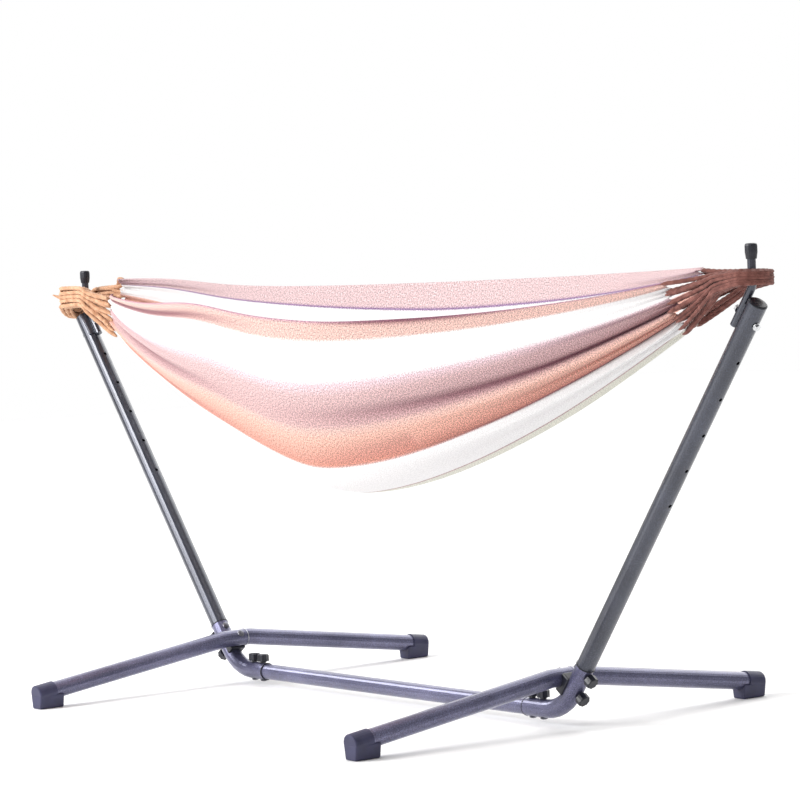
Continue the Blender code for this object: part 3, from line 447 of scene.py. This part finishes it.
def cotton_cord(name, dark, light):
    """Soft twisted cord whose colour varies along it and from cord to cord."""
    material, nodes, links, shader = new_material(name)
    place = nodes.new("ShaderNodeTexCoord").outputs["Object"]
    fine = noise_of(nodes, links, place, scale=620.0, detail=3.0, roughness=0.7)
    cloud = noise_of(nodes, links, place, scale=70.0, detail=2.0, roughness=0.5)
    both = calculate(nodes, links, "ADD", calculate(nodes, links, "MULTIPLY", fine, 0.45),
                     calculate(nodes, links, "MULTIPLY", cloud, 0.55))
    links.new(ramp(nodes, links, both, ((0.34, dark), (0.66, light))), shader.inputs["Base Color"])
    set_shader(shader, Roughness=0.92, Specular_IOR_Level=0.15, Sheen_Weight=0.15,
               Sheen_Roughness=0.5)
    bump(nodes, links, shader, fine, strength=0.5, distance=0.0006)
    return material


def dress_frame():
    """Materials of the stand's own nodes, mostly by the record's material slots."""
    plastic = moulded("black_plastic", dark=(0.006, 0.007, 0.012), light=(0.018, 0.019, 0.030),
                      roughness=0.34, grain_scale=900.0)
    by_slot = {
        "frame_paint": powder_coat("slate_powder_coat", dark=(0.085, 0.085, 0.155),
                                   light=(0.140, 0.138, 0.235), coat=0.55),
        "foot_rubber": moulded("navy_rubber", dark=(0.024, 0.024, 0.064),
                               light=(0.044, 0.044, 0.104), roughness=0.48, grain_scale=700.0),
        "black_plastic": plastic,
        "zinc_steel": plated_steel("zinc_plate", dark=(0.55, 0.56, 0.58),
                                   light=(0.80, 0.81, 0.82), roughness=0.18),
    }
    # Posts and hooks: the frame's paint made darker, as painted shade
    shaded_upright = powder_coat("slate_powder_coat_upright", dark=(0.022, 0.025, 0.040),
                          light=(0.039, 0.044, 0.067), coat=1.0)
    blackened = plated_steel("blackened_steel", dark=(0.10, 0.10, 0.12), light=(0.22, 0.22, 0.25),
                             roughness=0.30)
    for subpart in frame["record"]["subparts"]:
        node = subpart["node"]
        if node.endswith(("_post", "_hook")):
            made = shaded_upright
        elif "_bolt" in node and "hook" not in node:
            made = blackened
        else:
            made = by_slot.get(subpart["material_slot"], plastic)
        for slot in bpy.data.objects[node].material_slots:
            slot.material = made
    return plastic


# Cloth shape
def end_x(side):
    return side * (PRONG_X - STRAND_RUN[side])


def share_along(x):
    """-1 at the cloth's left end, 1 at its right end."""
    middle = (end_x(1) + end_x(-1)) / 2
    return (x - middle) / (end_x(1) - middle)


def half_width(x):
    share = share_along(x)
    end = END_HALF_WIDTH[1 if share > 0 else -1]
    return end + (HALF_WIDTH - end) * (1 - share ** 2)


def soft_line(line):
    """Table of a hanging line's height along X, with its lowest place rounded off."""
    x = np.arange(-LINE_REACH, LINE_REACH, LINE_STEP)
    right = x > line.low_x
    reach = np.where(right, end_x(1) - line.low_x, end_x(-1) - line.low_x)
    rise = np.where(right, line.ends[1] - line.low, line.ends[0] - line.low)
    power = np.where(right, line.powers[1], line.powers[0])
    height = line.low + rise * np.abs((x - line.low_x) / reach) ** power
    if line.shoulder:
        place, breadth, lift = line.shoulder
        height += lift * np.exp(-((x - place) / breadth) ** 2)
    offsets = np.arange(-WINDOW_REACH, WINDOW_REACH, LINE_STEP)
    window = np.exp(-(offsets / LINE_SOFTNESS) ** 2 / 2)
    return x, np.convolve(height, window / window.sum(), mode="same")


LINES = {name: soft_line(line) for name, line in LINE_SHAPES.items()}


def line_height(name, x):
    return float(np.interp(x, *LINES[name]))


def section(x, shares):
    """Places across the cloth at x, for shares of the way round from the near edge."""
    spread = np.linspace(-1, 1, SECTION_PLACES)
    edge = np.where(spread < 0, line_height("near", x), line_height("far", x))
    bottom = line_height("bottom", x)
    y = half_width(x) * spread
    z = bottom + (edge - bottom) * np.abs(spread) ** SECTION_POWER
    runs = np.concatenate(([0], np.cumsum(np.hypot(np.diff(y), np.diff(z)))))
    goal = shares * runs[-1]
    return np.stack([np.interp(goal, runs, y), np.interp(goal, runs, z)], axis=1), runs[-1]


# Creases: places along each as (share along, share round), half breadth at its start and
# its end, depth, and how much shade is painted into it
CREASES = (
    (((-1.0, 0.190), (-0.80, 0.206), (-0.55, 0.216), (-0.25, 0.226)), (0.012, 0.020), 0.013, 0.90),
    (((-1.0, 0.150), (-0.70, 0.165), (-0.40, 0.175)), (0.008, 0.020), 0.006, 0.30),
    (((-1.0, 0.030), (-0.75, 0.035), (-0.45, 0.033), (-0.05, 0.022)), (0.010, 0.011), 0.008, 1.7),
    (((-1.0, 0.300), (-0.70, 0.318), (-0.25, 0.324)), (0.012, 0.016), 0.007, 0.60),
    (((-1.0, 0.960), (-0.70, 0.968)), (0.006, 0.010), 0.006, 0.60),
    (((-1.0, 0.085), (-0.80, 0.090)), (0.006, 0.010), 0.006, 0.35),
    (((1.0, 0.226), (0.70, 0.226), (0.30, 0.214), (-0.15, 0.206)), (0.010, 0.022), 0.014, 0.90),
    (((1.0, 0.150), (0.60, 0.158)), (0.006, 0.016), 0.006, 0.45),
    (((1.0, 0.330), (0.60, 0.332), (0.20, 0.330)), (0.005, 0.007), 0.009, 0.95),
    (((1.0, 0.285), (0.70, 0.287), (0.40, 0.290)), (0.006, 0.012), 0.006, 0.40),
    (((1.0, 0.395), (0.60, 0.398), (0.20, 0.392)), (0.010, 0.016), 0.010, 0.40),
    # These two have no depth and are only painted shade: a dark line along the near edge
    (((0.40, 0.003), (0.75, 0.004)), (0.009, 0.003), 0.0, 1.0),
    (((0.40, 0.003), (0.08, 0.004)), (0.009, 0.002), 0.0, 1.0),
    (((1.0, 0.957), (0.60, 0.962)), (0.006, 0.010), 0.006, 0.45),
    (((0.30, 0.300), (-0.05, 0.312)), (0.020, 0.030), 0.006, 0.18),
    (((1.0, 0.190), (0.60, 0.195), (0.05, 0.205)), (0.040, 0.045), 0.004, 0.38),
    (((1.0, 0.320), (0.60, 0.320), (-0.10, 0.325)), (0.020, 0.020), 0.003, 0.40),
)
# Soft ridges beside them, where the cloth stands out: places, half breadths and height
RIDGES = (
    (((-1.0, 0.235), (-0.70, 0.250), (-0.35, 0.258)), (0.012, 0.022), 0.008),
    (((1.0, 0.258), (0.60, 0.258), (0.10, 0.262)), (0.010, 0.020), 0.010),
    (((1.0, 0.360), (0.60, 0.362), (0.20, 0.360)), (0.010, 0.014), 0.006),
)


def fold_strength(places, breadths, along, shares):
    """How strongly a fold acts on a row: its bell across the cloth, fading along its run."""
    start, stop = places[0][0], places[-1][0]
    travelled = (along - start) / (stop - start)
    if not -CREASE_SLACK <= travelled <= 1:
        return np.zeros_like(shares)
    spots = np.array(sorted(places))
    centre = np.interp(along, spots[:, 0], spots[:, 1])
    breadth = breadths[0] + (breadths[1] - breadths[0]) * travelled
    fade = (1 - travelled ** 2) ** CREASE_FADE if travelled > 0 else 1.0
    return fade * np.exp(-((shares - centre) / breadth) ** 2)


def cord_phase(shares):
    """A whole number where a cord is stitched to the cloth's end."""
    inward = np.minimum(shares, 1 - shares)
    return (inward - CORD_MARGIN) / (0.5 - 2 * CORD_MARGIN) * CORDS - 0.5


def folds(along, shares):
    """Outward move and painted shade of the creases and fold hollows over one row of the cloth."""
    end = 1 if along > 0 else -1
    gather = abs(along) ** GATHER_POWER
    tight = abs(along) ** PLEAT_POWER
    slow = np.sin(2 * math.pi * GATHER_FOLDS * shares + GATHER_PHASE * end)
    fine = np.sin(2 * math.pi * FINE_FOLDS * shares + FINE_PHASE + FINE_DRIFT * along)
    pleats = np.cos(2 * math.pi * cord_phase(shares))
    move = GATHER_HEIGHT * gather * slow + PLEAT_HEIGHT * tight * pleats
    move += FINE_HEIGHT * gather * fine
    dark = (PLEAT_SHADE * tight * np.clip(-pleats, 0, 1)
            + GATHER_SHADE * gather * np.clip(-slow, 0, 1))
    for places, breadths, depth, shade in CREASES:
        strength = fold_strength(places, breadths, along, shares)
        move -= depth * strength
        dark += shade * strength
    for places, breadths, height in RIDGES:
        move += height * fold_strength(places, breadths, along, shares)
    return move, np.clip(dark, 0, 1)


def ripple(x, shares):
    """Slow unevenness of hanging cotton."""
    sparse = shares[::RIPPLE_COLUMNS]
    values = [sum(noise.noise(Vector((x * along, share * across, place))) * height
                  for along, across, place, height in RIPPLES) for share in sparse]
    return np.interp(shares, sparse, values)


def cloth_grid():
    """Rows of places along the cloth, the shade painted on each, and the sections' widths."""
    shares = np.linspace(0, 1, COLUMNS + 1)
    grid = np.zeros((ROWS + 1, COLUMNS + 1, 3))
    dark = np.zeros((ROWS + 1, COLUMNS + 1))
    widths = []
    for row in range(ROWS + 1):
        # Rows lie closer together towards the gathered ends
        place = (1 + math.sin(math.pi / 2 * (2 * row / ROWS - 1))) / 2
        x = end_x(-1) + (end_x(1) - end_x(-1)) * place
        along = share_along(x)
        points, width = section(x, shares)
        widths.append(width)
        run = np.gradient(points, axis=0)
        run /= np.linalg.norm(run, axis=1)[:, None]
        outward = np.stack([run[:, 1], -run[:, 0]], axis=1)
        move, dark[row] = folds(along, shares)
        move = move + ripple(x, shares) * (1 - abs(along) ** RIPPLE_POWER)
        between = np.abs(np.sin(math.pi * cord_phase(shares)))
        fall_back = SCALLOP * between * abs(along) ** SCALLOP_POWER
        end = 1 if along > 0 else -1
        slant = np.interp(shares, *END_SLANT[end]) * abs(along) ** SLANT_POWER
        grid[row, :, 0] = x - end * (fall_back + slant)
        grid[row, :, 1:] = points + outward * move[:, None]
    return grid + np.array(ORIGIN), dark, shares, widths


def middle_lengths(grid):
    """Run along the cloth's middle column up to each row."""
    steps = np.linalg.norm(np.diff(grid[:, COLUMNS // 2, :], axis=0), axis=1)
    return np.concatenate(([0], np.cumsum(steps)))


def grid_mesh(name, grid, dark, shares, lengths):
    rows, columns = grid.shape[:2]
    mesh = bpy.data.meshes.new(name)
    index = np.arange(rows * columns).reshape(rows, columns)
    faces = np.stack([index[:-1, :-1], index[:-1, 1:], index[1:, 1:], index[1:, :-1]], axis=-1)
    mesh.from_pydata(grid.reshape(-1, 3).tolist(), [], faces.reshape(-1, 4).tolist())
    corners = np.zeros(len(mesh.loops), dtype=np.int32)
    mesh.loops.foreach_get("vertex_index", corners)
    place = np.stack([np.tile(shares, rows), np.repeat(lengths, columns)], axis=1)
    mesh.uv_layers.new(name="weave").data.foreach_set("uv", place[corners].ravel())
    # Painted shade of the creases and fold hollows, by which the cloth's material darkens its
    # colour
    shade = mesh.attributes.new("crease_shade", "FLOAT", "POINT")
    shade.data.foreach_set("value", dark.ravel())
    mesh.shade_smooth()
    return mesh


# Pieces
def add(name, mesh, material, body):
    piece = bpy.data.objects.new(name, mesh)
    bpy.context.scene.collection.objects.link(piece)
    mesh.materials.append(material)
    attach(piece, body)
    return piece


def mesh_of(name, verts, faces):
    mesh = bpy.data.meshes.new(name)
    mesh.from_pydata([tuple(vert) for vert in verts], [], faces)
    mesh.shade_smooth()
    return mesh


def joined(tubes):
    verts = []
    faces = []
    for tube_verts, tube_faces in tubes:
        base = len(verts)
        verts.extend(tube_verts)
        faces.extend(tuple(base + corner for corner in face) for face in tube_faces)
    return verts, faces


def cord_tube(points, radii, phase):
    """A closed cord of twisted plies along points."""
    sides = CORD_SIDES
    verts = []
    faces = []
    run = 0.0
    side = None
    for index, point in enumerate(points):
        forward = points[min(index + 1, len(points) - 1)] - points[max(index - 1, 0)]
        forward.normalize()
        if side is None:
            side = forward.cross(NEARLY_UP)
        side = (side - forward * side.dot(forward)).normalized()
        lift = forward.cross(side)
        if index:
            run += (point - points[index - 1]).length
        twist = phase + run * PLIES_PER_METRE * 2 * math.pi / PLIES
        for step in range(sides):
            angle = 2 * math.pi * step / sides
            size = radii[index] * (1 + PLY_DEPTH * math.cos(PLIES * (angle - twist)))
            verts.append(point + (side * math.cos(angle) + lift * math.sin(angle)) * size)
    last = (len(points) - 1) * sides
    for ring in range(0, last, sides):
        for step in range(sides):
            after = (step + 1) % sides
            faces.append((ring + step, ring + after, ring + sides + after, ring + sides + step))
    faces.append(tuple(range(sides))[::-1])
    faces.append(tuple(last + step for step in range(sides)))
    return verts, faces


def dense_curve(points):
    """Many places on a smooth curve through the points (Catmull-Rom)."""
    dense = []
    for index in range(len(points) - 1):
        before = points[max(index - 1, 0)]
        start, end = points[index], points[index + 1]
        after = points[min(index + 2, len(points) - 1)]
        for step in range(CURVE_STEPS):
            t = step / CURVE_STEPS
            dense.append((start * 2 + (end - before) * t
                          + (before * 2 - start * 5 + end * 4 - after) * t ** 2
                          + (start * 3 - before - end * 3 + after) * t ** 3) / 2)
    dense.append(points[-1])
    return dense


def smooth_path(points):
    """Evenly spaced places on a smooth curve through the points."""
    dense = dense_curve(points)
    even = [dense[0]]
    left = CORD_SPACING
    for first, second in zip(dense, dense[1:]):
        step = (second - first).length
        travelled = 0.0
        while step - travelled >= left:
            travelled += left
            even.append(first.lerp(second, travelled / step))
            left = CORD_SPACING
        left -= step - travelled
    even.append(dense[-1])
    return even


# Cords
def loop_spots(side):
    """Middle of a loop's rope from its near neck round its far end, with its half height."""
    loop = LOOPS[side]
    bight = loop.inner_end + loop.rope
    broad = loop.inner_side + loop.rope
    neck = PRONG_X - loop.reach
    limit = math.pi - math.asin(NECK_HALF / broad)
    middle = (neck - bight * math.cos(limit)) / (1 - math.cos(limit))
    spots = []
    for step in range(LOOP_STEPS + 1):
        angle = limit * (2 * step / LOOP_STEPS - 1)
        sink = max(0.0, math.cos(angle)) ** DROOP_POWER
        spot = Vector((side * (middle + (bight - middle) * math.cos(angle)),
                       broad * math.sin(angle), -loop.droop * sink))
        spots.append((spot, loop.neck_height + (loop.far_height - loop.neck_height) * sink))
    return spots


def cord_in_rope(side, index):
    """Where a cord lies in its loop's rope: how far outward, and how high as a share."""
    row, column = divmod(index, CORD_COLUMNS)
    column -= (CORD_COLUMNS - 1) / 2
    return SimpleNamespace(index=index, outward=column * CORD_RADIUS[side] * CORD_PITCH,
                           up=1 - 2 * (row + 0.5 + ROW_SLANT * column) / CORD_ROWS)


def ring_places(side, cord):
    """A cord's places round the loop, without those next to the necks."""
    loop = LOOPS[side]
    spots = loop_spots(side)
    places = []
    for step, (spot, tall) in enumerate(spots):
        run = spots[min(step + 1, LOOP_STEPS)][0] - spots[max(step - 1, 0)][0]
        out = Vector((run.y, -run.x, 0)).normalized()
        roll = math.sin(2 * math.pi * step / LOOP_STEPS + ROLL_PHASE * cord.index)
        places.append(spot + out * (cord.outward + ROLL[0] * loop.loose * roll)
                      + Vector((0, 0, cord.up * tall + ROLL[1] * loop.loose * roll)))
    return places[loop.bend:-loop.bend]


def stitched_start(grid, side, share):
    """A cord's first two places, on the outside of the cloth's gathered end."""
    column = int(round(share * COLUMNS))
    last = ROWS if side > 0 else 0
    across = (grid[last, min(column + STITCH_COLUMNS, COLUMNS)]
              - grid[last, max(column - STITCH_COLUMNS, 0)])
    outward = Vector((0, across[2], -across[1])).normalized()
    offset = outward * (CORD_RADIUS[side] + CLOTH_THICKNESS)
    lap = Vector(grid[last - side * LAP_ROWS, column]) - ORIGIN + offset
    begin = Vector(grid[last, column]) - ORIGIN + offset + Vector((side * STITCH_OUT, 0, 0))
    return [lap, begin]


def gate_place(side, cord, aside, start_height):
    """Where a cord passes the gate on one side of the hook."""
    loop = LOOPS[side]
    height = cord.up * loop_spots(side)[loop.bend][1]
    return Vector((side * (PRONG_X - loop.gate_back),
                   aside * (loop.gate_y + side * cord.outward),
                   height + loop.sunk * (start_height - height)))


def branch_places(grid, side, cord, share, aside):
    """A cord's places from the cloth to the gate."""
    places = stitched_start(grid, side, share)
    begin = places[-1]
    goal = gate_place(side, cord, aside, begin.z)
    between, along, ends = DRIFT_RATE
    for step in range(1, BRANCH_STEPS):
        t = step / BRANCH_STEPS
        sway = math.sin(math.pi * t)
        drift = noise.noise(Vector((cord.index * between, t * along, side * ends + share)))
        moved = Vector((0, drift * DRIFT[0], drift * DRIFT[1] - BRANCH_SAG))
        places.append(begin.lerp(goal, t) + moved * sway * LOOPS[side].loose)
    places.append(goal)
    return places


def cord_routes(grid, side):
    """Each cord's points: cloth, near branch, round the prong, far branch, cloth."""
    routes = []
    for index in range(CORDS):
        cord = cord_in_rope(side, index)
        share = CORD_MARGIN + (0.5 - 2 * CORD_MARGIN) * (index + 0.5) / CORDS
        near = branch_places(grid, side, cord, share, -1)
        far = branch_places(grid, side, cord, 1 - share, 1)
        routes.append(near + ring_places(side, cord) + far[::-1])
    return routes


def cord_tubes(grid, side):
    tubes = []
    for index, route in enumerate(cord_routes(grid, side)):
        points = [point + ORIGIN for point in smooth_path(route)]
        size = CORD_RADIUS[side] * (CORD_SIZE + CORD_VARIETY * math.sin(CORD_VARIETY_RATE * index))
        radii = [size * min(1, BLUNT_END + BLUNT_GROWTH * min(step, len(points) - 1 - step))
                 for step in range(len(points))]
        tubes.append(cord_tube(points, radii, PLY_PHASE * index))
    return tubes


def tail_tubes():
    """Loose ends of the slack loop, whipped together into a point."""
    start = loop_spots(-1)[LOOP_STEPS // 2][0] + Vector((0, 0, TAIL_LIFT))
    tip = start + TAIL_RUN
    tubes = []
    for index in range(TAIL_STRANDS):
        angle = 2 * math.pi * index / TAIL_STRANDS
        points = []
        radii = []
        for step in range(TAIL_STEPS + 1):
            t = step / TAIL_STEPS
            turned = angle + TAIL_TURN * t
            aside = Vector((0, math.cos(turned), math.sin(turned)))
            spread = TAIL_SPREAD[0] * (1 - t) ** TAIL_TAPER[0] + TAIL_SPREAD[1]
            points.append(start.lerp(tip, t) + aside * spread + ORIGIN)
            radii.append(TAIL_RADIUS[0] * (1 - t) ** TAIL_TAPER[1] + TAIL_RADIUS[1])
        tubes.append(cord_tube(points, radii, index))
    return tubes


# Rings on the tubes
def post_axis(name, side):
    """Along a post, square to the bolt through it."""
    bolt = joints[name + "_post_knob_turn"]["axis"]
    return -side * bolt[2], 0, side * bolt[0]


def rim_of(node, axis):
    """Centre and radius of a tube's rim, the outermost one along an axis."""
    points = places_of(node)
    reach = points @ np.array(axis)
    rim = points[reach > reach.max() - RIM_DEPTH]
    centre = (rim.min(axis=0) + rim.max(axis=0)) / 2
    return Vector(centre), float(np.linalg.norm(rim - centre, axis=1).max())


def ring_mesh(name, centre, axis, radius, thickness, half_length):
    """A band round a tube with rounded edges."""
    first = axis.orthogonal().normalized()
    second = axis.cross(first)
    verts = []
    faces = []
    for step in range(RING_SIDES):
        angle = 2 * math.pi * step / RING_SIDES
        outward = first * math.cos(angle) + second * math.sin(angle)
        after = (step + 1) % RING_SIDES
        for corner in range(RING_CORNERS):
            turn = 2 * math.pi * corner / RING_CORNERS
            beside = (corner + 1) % RING_CORNERS
            verts.append(centre + outward * (radius + thickness * math.cos(turn))
                         + axis * (half_length * math.sin(turn)))
            faces.append((step * RING_CORNERS + corner, after * RING_CORNERS + corner,
                          after * RING_CORNERS + beside, step * RING_CORNERS + beside))
    return mesh_of(name, verts, faces)


def add_ring(name, node, axis, ring, material):
    axis = Vector(axis).normalized()
    centre, radius = rim_of(node, axis)
    mesh = ring_mesh(name, centre + axis * ring.shift, axis, radius + ring.proud, ring.thickness,
                     ring.half_length)
    add(name, mesh, material, "stand")


# Floor, light and camera
def add_lamp(name, light, spot, direction):
    lamp = bpy.data.objects.new(name, light)
    lamp.location = spot
    lamp.rotation_euler = direction.to_track_quat("-Z", "Y").to_euler()
    bpy.context.scene.collection.objects.link(lamp)


def sun_light(name, direction, strength, angle, colour):
    light = bpy.data.lights.new(name, "SUN")
    light.energy = strength
    light.angle = math.radians(angle)
    light.color = colour
    add_lamp(name, light, (0, 0, 0), Vector(direction))


def area_light(name, spot, target, size, power, colour):
    light = bpy.data.lights.new(name, "AREA")
    light.shape = "RECTANGLE"
    light.size, light.size_y = size
    light.energy = power
    light.color = colour
    add_lamp(name, light, spot, Vector(target) - Vector(spot))


def set_floor():
    reach = FLOOR_REACH
    floor_mesh = mesh_of("floor", [(-reach, -reach, 0), (reach, -reach, 0), (reach, reach, 0),
                                   (-reach, reach, 0)], [(0, 1, 2, 3)])
    floor = bpy.data.objects.new("floor", floor_mesh)
    floor.location.z = -FLOOR_GAP
    bpy.context.scene.collection.objects.link(floor)
    material, nodes, links, shader = new_material("pale_floor")
    set_shader(shader, Base_Color=(FLOOR_GREY, FLOOR_GREY, FLOOR_GREY, 1), Roughness=0.95,
               Specular_IOR_Level=0.1)
    floor_mesh.materials.append(material)


def set_world():
    """White surroundings, dimmer as a light than they look."""
    world = bpy.data.worlds.new("studio")
    bpy.context.scene.world = world
    world.use_nodes = True
    nodes = world.node_tree.nodes
    links = world.node_tree.links
    seen = nodes.new("ShaderNodeLightPath")
    strength = nodes.new("ShaderNodeMapRange")
    strength.inputs["To Min"].default_value = WORLD_LIGHT
    strength.inputs["To Max"].default_value = WORLD_SEEN
    links.new(seen.outputs["Is Camera Ray"], strength.inputs["Value"])
    nodes["Background"].inputs["Color"].default_value = (1, 1, 1, 1)
    links.new(strength.outputs[0], nodes["Background"].inputs["Strength"])


def set_camera():
    camera_data = bpy.data.cameras.new("camera")
    camera_data.lens = LENS
    camera_data.sensor_width = SENSOR_WIDTH
    camera_data.clip_end = CLIP_END
    camera = bpy.data.objects.new("camera", camera_data)
    bpy.context.scene.collection.objects.link(camera)
    turn = Euler([math.radians(angle) for angle in CAMERA_TURN])
    camera.matrix_world = Matrix.LocRotScale(CAMERA_SPOT, turn, None)
    bpy.context.scene.camera = camera
    bpy.context.scene.view_settings.view_transform = "Standard"


# The build
plastic = dress_frame()
cloth = striped_cloth()
cord_materials = {
    -1: cotton_cord("cord_tan", dark=(0.38, 0.185, 0.100), light=(0.67, 0.41, 0.26)),
    1: cotton_cord("cord_brown", dark=(0.105, 0.036, 0.030), light=(0.27, 0.112, 0.092)),
}
bare_steel = plated_steel("bare_steel", dark=(0.42, 0.43, 0.48), light=(0.70, 0.71, 0.76),
                          roughness=0.28)

grid, dark, shares, widths = cloth_grid()
lengths = middle_lengths(grid)
bed = add("cloth_bed", grid_mesh("cloth_bed", grid, dark, shares, lengths), cloth, "hammock")
thickness = bed.modifiers.new("thickness", "SOLIDIFY")
thickness.thickness = CLOTH_THICKNESS
thickness.offset = 0
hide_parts("hammock_bed")

for name, side in SIDES.items():
    tubes = cord_tubes(grid, side)
    if side < 0:
        tubes += tail_tubes()
    cords = add(name + "_cords", mesh_of(name + "_cords", *joined(tubes)), cord_materials[side],
                "hammock")
    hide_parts(name + "_clew")
    add_ring(name + "_base_ring", name + "_elbow", (-side, 0, 0), RINGS["base"], plastic)
    add_ring(name + "_post_ring", name + "_elbow", post_axis(name, side), RINGS["post"], plastic)
    add_ring(name + "_leg_ring", name + "_leg_front", (0, 1, 0), RINGS["leg"], bare_steel)

set_floor()
set_world()
for name, values in SUNS.items():
    sun_light(name, *values)
for name, values in LAMPS.items():
    area_light(name, *values)
set_camera()
